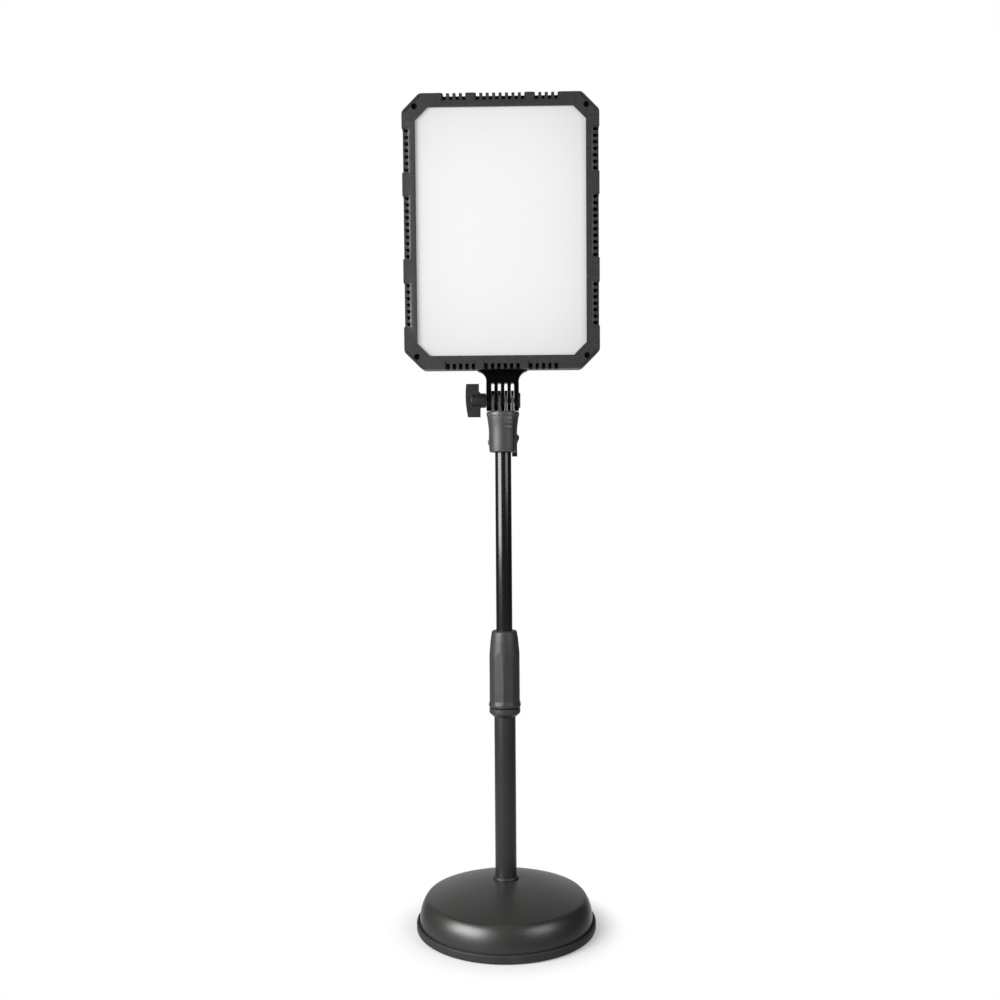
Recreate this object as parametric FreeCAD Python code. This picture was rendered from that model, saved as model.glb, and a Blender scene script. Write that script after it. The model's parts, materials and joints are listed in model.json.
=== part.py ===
import FreeCAD, Part
import math
import os

V = FreeCAD.Vector
X_AXIS, Y_AXIS, Z_AXIS = V(1, 0, 0), V(0, 1, 0), V(0, 0, 1)
ORIGIN = V(0, 0, 0)

# A soft light panel on a weighted telescopic stand, in millimetres.
# The origin is the centre of the base's underside, +Z is up and the lamp faces -Y.
# Pieces of the head are drawn upright about the tilt pivot, then leaned forward together.

# ---- base ----
FOOT_R, FOOT_H, FOOT_ROUND = 90.5, 8.6, 2.2
FOOT_INNER_R, FOOT_LEDGE_Z = 84.2, 5.0
COVER_R, COVER_WALL = 87.4, 1.8
SHOULDER_R, SHOULDER_Z, SHOULDER_POWER = 75.9, 33.1, 1.9
CROWN_R, CROWN_Z = 12.7, 49.3
CROWN_MID = (41.5, 47.0)
PLATE_R, PLATE_T, PLATE_Z = 83.9, 1.5, 1.2
WEIGHT_R, WEIGHT_T, WEIGHT_BEVEL, HUB_R, HUB_TOP_Z = 80.0, 15.0, 4.0, 17.0, 40.0
BOLT_R, BOLT_HOLE_R, BOLT_HEAD_R, BOLT_HEAD_Z, BOLT_HEAD_H = 4.9, 5.5, 9.2, 3.5, 6.4
BOLT_WELL_R, WELL_TOP_Z, WASHER_R, PLUG_H = 11.0, 11.9, 10.5, 20.0

# ---- mast ----
LOWER_R, LOWER_WALL, LOWER_TOP_Z = 10.8, 1.3, 250.0
UPPER_R, UPPER_WALL, UPPER_BOTTOM_Z, UPPER_TOP_Z = 8.2, 1.0, 218.0, 513.0
FLANGE_R, FLANGE_H = 13.0, 2.6
RUNNING = 0.05
CLEAR = 0.3

# ---- twist clutch ----
CLUTCH_BOTTOM_Z, CLUTCH_TOP_Z = 214.0, 300.2
CLUTCH_RING_R, CLUTCH_RING_TOP_Z = 15.7, 222.4
GRIP_LIP_R, GRIP_R, GRIP_TOP_R = 16.2, 15.8, 12.8
NECK_R, NECK_TOP_Z = 13.1, 262.0
COLLET_TOP_Z, COLLET_T, COLLET_HEAD_T, COLLET_SLOT = 288.0, 2.1, 2.9, 1.2
BUSH_H = 14.0

# ---- socket collar ----
COLLAR_BOTTOM_Z, LIP_Z, COLLAR_TOP_Z = 481.0, 517.4, 521.6
COLLAR_R, COLLAR_LIP_R, SOCKET_DEPTH = 13.9, 16.6, 33.2
CLAMP_Y, CLAMP_Z = 16.5, 496.6
LUG_LEFT_X, LUG_RIGHT_X, LUG_BACK_Y, LUG_H = -11.5, 8.4, 21.5, 24.0
LUG_ROUND, SLIT_W, CLAMP_BOLT_R, CLAMP_HEAD_R, CLAMP_HEAD_T = 4.0, 2.4, 2.0, 3.0, 3.25
RIB_R, RIB_XS, RIB_H, RIB_ZS = 15.9, (1.4, 9.2), 2.7, (506.1, 510.6, 515.1)
SEAM_DEG, SEAM_W, SEAM_FLOOR_R, SEAM_TOP_Z = -41.0, 1.0, 13.3, 514.0
PIP_X, PIP_Z, PIP_DEPTH, PIP_HALF_Y, PIP_HALF_Z = 15.3, 491.0, 4.0, 3.0, 2.6
PIN_X, PIN_R, EYE_R, CAM_R, CHEEK_Y, EYE_Y = 12.6, 1.5, 3.2, 3.8, 5.2, 1.9
ARM_OUT, ARM_IN, ARM_DROP = 1.7, 3.6, 3.6

# ---- tilt hinge ----
PIVOT_Z = 533.6
LEAN_DEG = 3.1
FINGER_R, BRACKET_FINGER_R, FINGER_PITCH, FINGER_GAP, HALF_W = 10.0, 10.7, 6.6, 3.3, 16.4
LOWER_FINGER_T = FINGER_GAP - 2 * CLEAR
BRACKET_ROOT_Z, BRACKET_TOP_Z, FLARE_W, FLARE_H = 17.3, 30.4, 8.0, 12.0
FLANGE_HALF_X, FLANGE_T, FLANGE_HALF_Y = 25.0, 1.2, 11.5
BRACKET_SCREW_X, BRACKET_SCREW_R, SCREW_BOTTOM_Z = 9.9, 1.7, 21.0
STUD_R, NUT_R, NUT_T = 2.5, 4.6, 3.2
CAP_R, CAP_T = 8.0, 1.45
KNOB_IN_X, KNOB_SHOULDER_X, KNOB_OUT_X = -HALF_W - 0.7, -23.0, -37.5
KNOB_HALF_LEN, KNOB_HALF_T, KNOB_HUB_R, KNOB_HUB_IN, KNOB_TAPER = 16.8, 4.2, 7.4, 5.5, 2.3
STUD_IN_KNOB = 6.0

# ---- head ----
HEAD_W, HEAD_H, HEAD_BOTTOM = 193.6, 268.6, BRACKET_TOP_Z
FRONT_Y, BEZEL_D, HOUSING_D = -25.0, 11.0, 25.0
SEAM_Y = FRONT_Y + BEZEL_D
BACK_Y = SEAM_Y + HOUSING_D
HEAD_MID = HEAD_BOTTOM + HEAD_H / 2
CORNER_CUT, CORNER_ROUND = 17.3, 6.0
WINDOW_W, WINDOW_H, WINDOW_CUT = 167.4, 242.2, 12.4
POCKET_W, POCKET_H, POCKET_CUT, LIP_T = 178.4, 252.2, 20.0, 2.4
SLOT_W, SLOT_PITCH = 3.3, 6.3
SIDE_SLOT, TOP_SLOT, BOTTOM_SLOT = 5.0, 6.5, 5.5
SIDE_STEP, FACE_STEP, STEP_IN, BEVEL_W = 1.3, 1.2, 5.2, 3.2
GROOVE_IN, GROOVE_W, GROOVE_D = 1.7, 0.9, 0.9
SIDE_GROUPS = ((79.5, 7), (4.9, 10), (-70.9, 7))
TOP_GROUPS = ((-45.2, 4), (0.0, 8), (45.2, 4))
BOTTOM_GROUPS = ((-41.1, 5), (0.0, 6), (41.1, 5))
SCREW_X, SCREW_Z, BOSS_R, RECESS_R, RECESS_D, SCREW_R = 84.2, 121.8, 5.2, 3.0, 7.0, 1.5
CROSS_L, CROSS_W = 2.0, 0.4
WALL, BACK_BEVEL = 2.4, 5.0
POST_X, POST_ROWS, POST_R, POST_SCREW_R = 76.0, (-96.0, 0.0, 96.0), 3.2, 1.2
VENT_ROWS, VENT_COUNT, VENT_PITCH, VENT_R, VENT_HALF_LEN = (34.0, 82.0), 11, 9.0, 1.4, 15.0

# ---- inside the head ----
DIFFUSER_Y, DIFFUSER_T = FRONT_Y + LIP_T, 2.0
GUIDE_Y, GUIDE_T, GUIDE_W, GUIDE_H, GUIDE_CUT = -20.4, 3.0, 170.4, 245.4, 14.0
REFLECTOR_Y, REFLECTOR_T = -17.2, 0.4
SPREADER_Y, SPREADER_T, SPREADER_W, SPREADER_H, SPREADER_CUT = -16.6, 1.5, 177.6, 247.4, 18.0
SPREADER_WALL = 1.2
STRIP_LEN, STRIP_T, STRIP_DEPTH = 204.0, 1.0, 3.5
CHIPS, CHIP_PITCH, CHIP_L, CHIP_W, CHIP_T = 36, 5.5, 3.5, 2.0, 1.1
BOARD_T, DRIVER_W, DRIVER_H, DRIVER_Z = 1.6, 70.0, 50.0, 22.0
DRIVER_Y = SEAM_Y + 6.0
BOARD_HOLE_X, BOARD_HOLE_Z, BOARD_HOLE_R, BOARD_SCREW_R, SPACER_R = 31.0, 21.0, 1.4, 1.2, 2.6
BOARD_HOLES = [(sx * BOARD_HOLE_X, HEAD_MID + DRIVER_Z + sz * BOARD_HOLE_Z)
               for sx in (-1, 1) for sz in (-1, 1)]
INDUCTOR_X, INDUCTOR_R, INDUCTOR_HOLE_R, INDUCTOR_H = -17.0, 7.0, 2.2, 7.5
CAPACITOR_XS, CAPACITOR_ZS, CAPACITOR_R, CAPACITOR_H = (4.0, 14.0), (-12.0, 12.0), 4.0, 9.0
SINK_X, SINK_W, SINK_H, SINK_D, SINK_BASE, FIN_GAP, FIN_PITCH = 26.0, 12.0, 26.0, 9.0, 2.5, 1.4, 2.6
CONTROL_W, CONTROL_H, DISPLAY_RIM = 122.0, 34.0, 2.0

# ---- rear controls, placed from the middle of the head ----
CONTROL_Z = -62.0
DIAL_X, DIAL_R, DIAL_H, SHAFT_R, SHAFT_OUT = 46.0, 11.0, 11.0, 3.0, 8.0
FLUTES, FLUTE_R, ENCODER_W = 24, 0.8, 12.0
DISPLAY_W, DISPLAY_H = 38.0, 22.0
ROCKER_X, ROCKER_Z, ROCKER_W, ROCKER_H, ROCKER_DEG = -24.0, -96.0, 13.0, 19.0, 6.0
INLET_X, INLET_Z, INLET_R, INLET_RIM_R, INLET_D = 24.0, -96.0, 4.5, 6.0, 11.0
PLUG_BORE_R, PLUG_PIN_R, SWITCH_D = 2.8, 1.0, 15.0
CONTROL_Y = BACK_Y - WALL - 9.0


def save(name, shape):
    """Write one node, after checking that every solid in it is sound."""
    shape = shape.removeSplitter() if shape.ShapeType == "Solid" else shape
    assert shape.isValid() and shape.Volume > 0, name
    shape.exportStep(os.path.join("parts", name + ".step"))
    print(name, shape.ShapeType, len(shape.Solids), round(shape.Volume))


def cyl(r, z0, z1, x=0.0, y=0.0):
    return Part.makeCylinder(r, z1 - z0, V(x, y, z0))


def tube(r_out, r_in, z0, z1):
    return cyl(r_out, z0, z1).cut(cyl(r_in, z0 - 1, z1 + 1))


def rod_x(r, x0, x1, y=0.0, z=0.0):
    return Part.makeCylinder(r, x1 - x0, V(x0, y, z), X_AXIS)


def rod_y(r, y0, y1, x=0.0, z=0.0):
    return Part.makeCylinder(r, y1 - y0, V(x, y0, z), Y_AXIS)


def box(x0, x1, y0, y1, z0, z1):
    return Part.makeBox(x1 - x0, y1 - y0, z1 - z0, V(x0, y0, z0))


def hexagon(r, x0, x1):
    """A hexagonal prism along X, r to its corners."""
    turns = [math.radians(60 * i) for i in range(7)]
    corners = [V(x0, r * math.sin(a), r * math.cos(a)) for a in turns]
    return Part.Face(Part.makePolygon(corners)).extrude(V(x1 - x0, 0, 0))


def lathe(points):
    """Turn a closed outline of (radius, height) points about Z."""
    ring = [V(r, 0, z) for r, z in points]
    return Part.Face(Part.makePolygon(ring + ring[:1])).revolve(ORIGIN, Z_AXIS, 360)


def lathe_wire(edges):
    return Part.Face(Part.Wire(edges)).revolve(ORIGIN, Z_AXIS, 360)


def line(a, b):
    return Part.LineSegment(V(a[0], 0, a[1]), V(b[0], 0, b[1])).toShape()


def spline(points):
    curve = Part.BSplineCurve()
    curve.interpolate([V(r, 0, z) for r, z in points])
    return curve.toShape()


def fuse(parts):
    return parts[0].multiFuse(parts[1:]).removeSplitter() if len(parts) > 1 else parts[0]


# ------------------------------------------------------------------ base

def dome_points(inset):
    """Crown and shoulder of the cover, moved in by a wall thickness."""
    points = []
    for i in range(7):
        t = i / 6
        r = (1 - t) ** 2 * CROWN_R + 2 * t * (1 - t) * CROWN_MID[0] + t * t * SHOULDER_R
        z = (1 - t) ** 2 * CROWN_Z + 2 * t * (1 - t) * CROWN_MID[1] + t * t * SHOULDER_Z
        points.append((r, z))
    drop, reach = SHOULDER_Z - FOOT_H, COVER_R - SHOULDER_R
    for i in range(1, 9):
        a = math.radians(22 + 68 * i / 8)
        points.append((SHOULDER_R - 1.0 + (reach + 1.0) * math.sin(a) ** (2 / SHOULDER_POWER),
                       FOOT_H + drop * 1.04 * math.cos(a) ** (2 / SHOULDER_POWER)))
    points[-1] = (COVER_R, FOOT_H)
    return [(r - inset * r / COVER_R, z - inset) for r, z in points]


def base_cover():
    outer = dome_points(0)
    inner = dome_points(COVER_WALL)
    low = FOOT_LEDGE_Z + 0.1
    bore = LOWER_R + 0.1
    outer = [(bore, CROWN_Z + 0.1)] + outer
    inner = [(bore, CROWN_Z + 0.1 - COVER_WALL)] + inner[1:]
    edges = [spline(outer), line(outer[-1], (COVER_R, low)),
             line((COVER_R, low), (COVER_R - COVER_WALL, low)),
             line((COVER_R - COVER_WALL, low), inner[-1]), spline(inner[::-1]),
             line(inner[0], outer[0])]
    return lathe_wire(edges)


def base_foot_ring():
    """Rubber ring round the rim; the cover drops into its upper step."""
    ring = tube(FOOT_R, FOOT_INNER_R, 0, FOOT_H).cut(tube(COVER_R + 0.6, 0.5, FOOT_LEDGE_Z, FOOT_H + 1))
    rims = [e for e in ring.Edges if e.Length > 2 * math.pi * (FOOT_R - 0.1)
            and abs(e.BoundBox.XMax - FOOT_R) < 0.01]
    return ring.makeFillet(FOOT_ROUND, rims)


def base_bottom_plate():
    return tube(PLATE_R, BOLT_WELL_R, PLATE_Z, PLATE_Z + PLATE_T)


def base_weight():
    low = PLATE_Z + PLATE_T + 0.2
    disc = cyl(WEIGHT_R, low, low + WEIGHT_T)
    upper = [e for e in disc.Edges if abs(e.BoundBox.ZMin - low - WEIGHT_T) < 0.01]
    disc = disc.makeChamfer(WEIGHT_BEVEL, upper)
    hub = Part.makeCone(HUB_R + 6, HUB_R, HUB_TOP_Z - low - WEIGHT_T, V(0, 0, low + WEIGHT_T))
    body = disc.fuse(hub).removeSplitter()
    return body.cut([cyl(BOLT_HOLE_R, 0, HUB_TOP_Z + 1), cyl(BOLT_WELL_R, 0, WELL_TOP_Z)])


def base_bolt():
    """M10 hex bolt, upwards into the tube's plug."""
    head = hexagon(BOLT_HEAD_R, 0, BOLT_HEAD_H)
    head.rotate(ORIGIN, Y_AXIS, -90)
    head.translate(V(0, 0, BOLT_HEAD_Z))
    return head.fuse(cyl(BOLT_R, BOLT_HEAD_Z + 1, HUB_TOP_Z + 16))


def base_washer():
    return tube(WASHER_R, BOLT_R + CLEAR, BOLT_HEAD_Z + BOLT_HEAD_H + 0.1, WELL_TOP_Z)


# ------------------------------------------------------------------ mast

def tube_plug():
    """Threaded insert pressed into the lower tube's foot."""
    return tube(LOWER_R - LOWER_WALL, BOLT_R, HUB_TOP_Z, HUB_TOP_Z + PLUG_H)


def lower_tube():
    return tube(LOWER_R, LOWER_R - LOWER_WALL, HUB_TOP_Z, LOWER_TOP_Z)


def tube_flange_ring():
    low = CROWN_Z + 0.1
    ring = lathe([(LOWER_R, low), (FLANGE_R, low), (FLANGE_R, low + 1.5), (FLANGE_R - 0.9, low + FLANGE_H),
                  (LOWER_R, low + FLANGE_H)])
    return ring


def clutch_body():
    """Fixed lower half of the clutch: visible ring, threaded neck and collet seat."""
    low, step = CLUTCH_BOTTOM_Z, CLUTCH_RING_TOP_Z
    bore = LOWER_R
    seat = UPPER_R + COLLET_T + 0.1
    rim = CLUTCH_RING_R
    return lathe([(bore, low), (bore + 1.4, low), (rim - 0.6, low + 2.6), (rim, low + 3.6),
                  (rim, step - 0.8), (rim - 0.8, step), (NECK_R, step), (NECK_R, NECK_TOP_Z),
                  (seat + 0.9, NECK_TOP_Z), (seat, NECK_TOP_Z - 4), (seat, LOWER_TOP_Z), (bore, LOWER_TOP_Z)])


def clutch_collet():
    """Plastic cone, split in six from the top, that grips the upper tube."""
    low, bore = LOWER_TOP_Z + 0.2, UPPER_R + RUNNING
    sleeve, head = UPPER_R + COLLET_T, UPPER_R + COLLET_HEAD_T
    cone = lathe([(bore, low), (sleeve, low), (sleeve, NECK_TOP_Z - 3.8),
                  (head, NECK_TOP_Z + 0.2), (head, NECK_TOP_Z + 10),
                  (UPPER_R + 0.8, COLLET_TOP_Z), (bore, COLLET_TOP_Z)])
    for i in range(3):
        cut = box(-20, 20, -COLLET_SLOT / 2, COLLET_SLOT / 2, NECK_TOP_Z - 2, COLLET_TOP_Z + 1)
        cut.rotate(ORIGIN, Z_AXIS, 60 * i)
        cone = cone.cut(cut)
    return cone


def clutch_grip():
    """Twist sleeve: straight grip with a flared lower lip and a tapered nose."""
    low, top = CLUTCH_RING_TOP_Z + 0.9, CLUTCH_TOP_Z
    bore, mouth = NECK_R + CLEAR, UPPER_R + 0.4
    outline = [(bore, low), (GRIP_LIP_R - 0.6, low), (GRIP_LIP_R, low + 0.8), (GRIP_LIP_R, low + 2.4),
               (GRIP_R + 0.2, low + 5.5), (GRIP_R, low + 12), (GRIP_R - 0.3, top - 25),
               (GRIP_R - 0.8, top - 20), (GRIP_R - 1.8, top - 9), (GRIP_TOP_R, top - 1.2),
               (GRIP_TOP_R - 0.9, top), (mouth, top), (mouth, COLLET_TOP_Z + 1.5),
               (UPPER_R + 1.5, COLLET_TOP_Z),
               (UPPER_R + 3.6, NECK_TOP_Z + 10), (bore - 1.4, NECK_TOP_Z + 3), (bore, NECK_TOP_Z + 1)]
    return lathe(outline)


def upper_tube():
    return tube(UPPER_R, UPPER_R - UPPER_WALL, UPPER_BOTTOM_Z, UPPER_TOP_Z)


def guide_bush():
    """Sleeve on the foot of the upper tube that runs inside the lower one."""
    wide = LOWER_R - LOWER_WALL - RUNNING
    return lathe([(UPPER_R, UPPER_BOTTOM_Z), (wide - 0.8, UPPER_BOTTOM_Z), (wide, UPPER_BOTTOM_Z + 1.5),
                  (wide, UPPER_BOTTOM_Z + BUSH_H), (UPPER_R, UPPER_BOTTOM_Z + BUSH_H)])


def tube_top_plug():
    return cyl(UPPER_R - UPPER_WALL, UPPER_TOP_Z - 12, UPPER_TOP_Z).fuse(
        cyl(UPPER_R - 0.3, UPPER_TOP_Z, UPPER_TOP_Z + 0.9)).cut(
        cyl(UPPER_R - UPPER_WALL - 1.4, UPPER_TOP_Z - 13, UPPER_TOP_Z - 1))


# ------------------------------------------------------------------ socket collar

def finger(x, thick, z_root):
    """One hinge finger with a round tip about the pivot, at PIVOT_Z."""
    low, high = min(z_root, PIVOT_Z), max(z_root, PIVOT_Z)
    plate = box(x - thick / 2, x + thick / 2, -FINGER_R, FINGER_R, low, high)
    return plate.fuse(rod_x(FINGER_R, x - thick / 2, x + thick / 2, 0, PIVOT_Z)).removeSplitter()


def collar_ribs():
    """Three raised ribs on the right of the sleeve's front."""
    x0, x1 = RIB_XS
    return [cyl(RIB_R, z - RIB_H / 2, z + RIB_H / 2).common(box(x0, x1, -RIB_R, -8, z - RIB_H, z + RIB_H))
            for z in RIB_ZS]


def collar_seam():
    """Upright groove where the sleeve's clamping side begins."""
    cut = box(SEAM_FLOOR_R, SEAM_FLOOR_R + 4, -SEAM_W / 2, SEAM_W / 2, COLLAR_BOTTOM_Z - 1, SEAM_TOP_Z)
    cut.rotate(ORIGIN, Z_AXIS, SEAM_DEG)
    return cut


def socket_collar():
    """Conical sleeve with a lip, four fingers above and a split clamp at its back."""
    low, lip, top = COLLAR_BOTTOM_Z, LIP_Z, COLLAR_TOP_Z
    outline = [line((0, low), (COLLAR_R - 0.8, low)), line((COLLAR_R - 0.8, low), (COLLAR_R, low + 1)),
               spline([(COLLAR_R, low + 1), (COLLAR_R + 0.35, low + 15), (COLLAR_R + 0.75, low + 26),
                       (COLLAR_R + 1.4, low + 31), (COLLAR_R + 2.1, lip)]),
               line((COLLAR_R + 2.1, lip), (COLLAR_LIP_R - 0.4, lip)),
               line((COLLAR_LIP_R - 0.4, lip), (COLLAR_LIP_R, lip + 0.6)),
               line((COLLAR_LIP_R, lip + 0.6), (COLLAR_LIP_R, top - 0.8)),
               line((COLLAR_LIP_R, top - 0.8), (COLLAR_LIP_R - 0.8, top)),
               line((COLLAR_LIP_R - 0.8, top), (0, top)), line((0, top), (0, low))]
    body = lathe_wire(outline)
    lugs = box(LUG_LEFT_X, LUG_RIGHT_X, 6, LUG_BACK_Y, low + 0.5, low + 0.5 + LUG_H)
    rear = [e for e in lugs.Edges if e.BoundBox.YMin > LUG_BACK_Y - 0.01 and e.BoundBox.ZLength > 1]
    lugs = lugs.makeFillet(LUG_ROUND, rear)
    fingers = [finger(FINGER_PITCH * k, LOWER_FINGER_T, top - 1) for k in (-1.5, -0.5, 0.5, 1.5)]
    pip = box(-PIP_X, PIP_DEPTH - PIP_X, -PIP_HALF_Y, PIP_HALF_Y, PIP_Z - PIP_HALF_Z, PIP_Z + PIP_HALF_Z)
    pip = pip.makeFillet(1.0, [e for e in pip.Edges if e.BoundBox.XMax < -PIP_X + 0.01])
    body = fuse([body, lugs, pip] + fingers + collar_ribs()).cut(collar_seam())
    body = body.cut(cyl(UPPER_R + RUNNING, low - 1, low + SOCKET_DEPTH))
    body = body.cut(box(-SLIT_W / 2, SLIT_W / 2, 2, LUG_BACK_Y + 1, low - 1, low + LUG_H + 4))
    body = body.cut(rod_x(CLAMP_BOLT_R + 0.2, LUG_LEFT_X - 2, LUG_RIGHT_X + 2, CLAMP_Y, CLAMP_Z))
    return body.cut(rod_x(STUD_R + RUNNING, -20, 20, 0, PIVOT_Z))


def clamp_bolt():
    """Tension rod across the clamp, with an eye round the cross pin."""
    eye = rod_y(EYE_R, CLAMP_Y - EYE_Y, CLAMP_Y + EYE_Y, PIN_X, CLAMP_Z)
    rod = rod_x(CLAMP_BOLT_R - 0.2, LUG_LEFT_X, PIN_X, CLAMP_Y, CLAMP_Z)
    return rod.fuse(eye).cut(rod_y(PIN_R, 0, 40, PIN_X, CLAMP_Z)).removeSplitter()


def clamp_bolt_head():
    near = LUG_LEFT_X - 0.05
    head = rod_x(CLAMP_HEAD_R, near - CLAMP_HEAD_T, near, CLAMP_Y, CLAMP_Z)
    return head.makeFillet(1.0, [e for e in head.Edges if e.BoundBox.XMax < near - CLAMP_HEAD_T + 0.01])


def clamp_pin():
    return rod_y(PIN_R, CLAMP_Y - CHEEK_Y - 0.2, CLAMP_Y + CHEEK_Y + 0.2, PIN_X, CLAMP_Z)


def clamp_lever():
    """Cam lever that folds down along the collar's side; forked round the bolt's eye."""
    x, z, tip = PIN_X, CLAMP_Z, COLLAR_BOTTOM_Z - ARM_DROP
    cam = rod_y(CAM_R, CLAMP_Y - CHEEK_Y, CLAMP_Y + CHEEK_Y, x, z)
    outer, inner = x + ARM_OUT, x - ARM_IN
    outline = [V(x + CAM_R, 0, z), V(outer, 0, z - 6), V(outer, 0, tip), V(inner, 0, tip),
               V(inner, 0, z - 7), V(x - 2.4, 0, z)]
    arm = Part.Face(Part.makePolygon(outline + outline[:1])).extrude(V(0, 2 * CHEEK_Y, 0))
    arm.translate(V(0, CLAMP_Y - CHEEK_Y, 0))
    lever = cam.fuse(arm).removeSplitter()
    fork = EYE_Y + CLEAR
    lever = lever.cut(box(x - 6, x + 6, CLAMP_Y - fork, CLAMP_Y + fork, z - 4.2, z + 9))
    return lever.cut(rod_y(PIN_R + RUNNING, 0, 40, x, z))


# ------------------------------------------------------------------ tilt hinge, drawn about the pivot

def lean(shape):
    """Move a head piece from the pivot's frame to its place on the stand."""
    placed = shape.copy()
    placed.rotate(ORIGIN, X_AXIS, LEAN_DEG)
    placed.translate(V(0, 0, PIVOT_Z))
    return placed


def flare(sign, z):
    """Start, middle and end of the arc from the neck's side to the flange."""
    near = 1 - math.sqrt(0.5)
    return (V(sign * HALF_W, 0, z - FLARE_H), V(sign * (HALF_W + near * FLARE_W), 0, z - near * FLARE_H),
            V(sign * (HALF_W + FLARE_W), 0, z))


def bracket_neck():
    """Block between the fingers and the flange, with concave sides."""
    top = BRACKET_TOP_Z
    ls, lm, le = flare(-1, top - FLANGE_T)
    rs, rm, re = flare(1, top - FLANGE_T)
    block = [re, V(re.x, 0, top), V(le.x, 0, top), le]
    legs = [ls, V(ls.x, 0, 0), V(rs.x, 0, 0), rs]
    wire = Part.Wire([Part.Arc(rs, rm, re).toShape()] + Part.makePolygon(block).Edges
                     + [Part.Arc(le, lm, ls).toShape()] + Part.makePolygon(legs).Edges)
    neck = Part.Face(wire).extrude(V(0, 2 * BRACKET_FINGER_R, 0))
    neck.translate(V(0, -BRACKET_FINGER_R, 0))
    return neck


def tilt_bracket():
    """Flange under the head, neck with concave sides and five fingers."""
    top = BRACKET_TOP_Z
    flange = box(-FLANGE_HALF_X, FLANGE_HALF_X, -FLANGE_HALF_Y, FLANGE_HALF_Y, top - FLANGE_T, top)
    flange = flange.makeFillet(3.0, [e for e in flange.Edges if e.BoundBox.ZLength > 1])
    body = fuse([bracket_neck(), flange, rod_x(BRACKET_FINGER_R, -HALF_W, HALF_W)])
    half_gap = FINGER_GAP / 2
    for k in (-1.5, -0.5, 0.5, 1.5):
        x = FINGER_PITCH * k
        body = body.cut(box(x - half_gap, x + half_gap, -20, 20, -20, BRACKET_ROOT_Z - half_gap))
        body = body.cut(rod_y(half_gap, -20, 20, x, BRACKET_ROOT_Z - half_gap))
    body = body.cut(rod_x(STUD_R + RUNNING, -20, 20))
    for x in (-BRACKET_SCREW_X, BRACKET_SCREW_X):
        body = body.cut(cyl(BRACKET_SCREW_R, SCREW_BOTTOM_Z, top + 1, x, 0))
    return body.cut(hexagon(NUT_R + 0.1, HALF_W - NUT_T - 0.2, HALF_W + 1))


def bracket_screws():
    """Two screws from inside the housing down into the neck."""
    floor = HEAD_BOTTOM + WALL + 0.02
    screws = []
    for x in (-BRACKET_SCREW_X, BRACKET_SCREW_X):
        shank = cyl(BRACKET_SCREW_R - 0.02, SCREW_BOTTOM_Z + 1.5, floor, x, 0)
        head = cyl(2 * BRACKET_SCREW_R, floor, floor + 2.4, x, 0)
        screws.append(shank.fuse(head).removeSplitter())
    return Part.makeCompound(screws)


def tilt_nut():
    return hexagon(NUT_R, HALF_W - NUT_T - 0.2, HALF_W - 0.2).cut(rod_x(STUD_R + 0.02, 0, 30))


def tilt_nut_cap():
    """Round cover over the nut on the hinge's right side."""
    inner = HALF_W + 0.05
    cap = rod_x(CAP_R, inner, inner + CAP_T)
    cap = cap.makeChamfer(0.9, [e for e in cap.Edges if e.BoundBox.XMin > inner + CAP_T - 0.01])
    return cap


def tilt_stud():
    return rod_x(STUD_R, KNOB_SHOULDER_X - STUD_IN_KNOB, HALF_W - 0.4)


def knob_washer():
    return rod_x(6.0, -HALF_W - 0.6, -HALF_W - 0.3).cut(rod_x(STUD_R + 0.2, -30, 0))


def tilt_knob():
    """T-shaped knob: tapered bar with a round hub and neck on the hinge axis."""
    half, out, inn = KNOB_HALF_LEN, KNOB_OUT_X, KNOB_SHOULDER_X
    left = Part.Arc(V(out + 0.7, 0, half), V(out, 0, 2), V(out + KNOB_TAPER, 0, -half)).toShape()
    right = [V(out + KNOB_TAPER, 0, -half), V(inn + 0.3, 0, -half), V(inn + 0.3, 0, -8), V(inn + 3, 0, -5),
             V(inn + 3, 0, 5), V(inn - 1.2, 0, 9.5), V(inn - 1.2, 0, half), V(out + 0.7, 0, half)]
    bar = Part.Face(Part.Wire([left] + Part.makePolygon(right).Edges)).extrude(V(0, 2 * KNOB_HALF_T, 0))
    bar.translate(V(0, -KNOB_HALF_T, 0))
    hub = rod_x(KNOB_HUB_R, out + KNOB_HUB_IN, KNOB_IN_X)
    hub = hub.makeFillet(1.2, [e for e in hub.Edges if e.BoundBox.XMax < out + KNOB_HUB_IN + 0.01])
    return fuse([bar, hub]).cut(rod_x(STUD_R, inn - STUD_IN_KNOB, 0))


# ------------------------------------------------------------------ head

def octagon(w, h, cut, y0, y1, rounding=0.0):
    """Cut-cornered slab of width w and height h about the head's middle, its corners rounded if asked."""
    a, b = w / 2, h / 2
    corners = [(a, b - cut), (a - cut, b), (cut - a, b), (-a, b - cut), (-a, cut - b), (cut - a, -b),
               (a - cut, -b), (a, cut - b)]
    ring = [V(x, y0, HEAD_MID + z) for x, z in corners]
    slab = Part.Face(Part.makePolygon(ring + ring[:1])).extrude(V(0, y1 - y0, 0))
    if not rounding:
        return slab
    return slab.makeFillet(rounding, [e for e in slab.Edges if e.BoundBox.YLength > (y1 - y0) / 2])


def corner_grooves():
    """Shallow line across each cut corner of the bezel, just inside its edge."""
    x = HEAD_W / 2 - CORNER_CUT / 2 - GROOVE_IN
    z = HEAD_H / 2 - CORNER_CUT / 2 - GROOVE_IN
    half = CORNER_CUT * 0.62
    grooves = []
    for sx in (-1, 1):
        for sz in (-1, 1):
            groove = box(-half, half, FRONT_Y - 1, FRONT_Y + GROOVE_D, -GROOVE_W / 2, GROOVE_W / 2)
            groove.rotate(ORIGIN, Y_AXIS, 45 * sx * sz)
            groove.translate(V(sx * x, 0, HEAD_MID + sz * z))
            grooves.append(groove)
    return grooves


def four_corners():
    return [(sx * SCREW_X, HEAD_MID + sz * SCREW_Z) for sx in (-1, 1) for sz in (-1, 1)]


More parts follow.
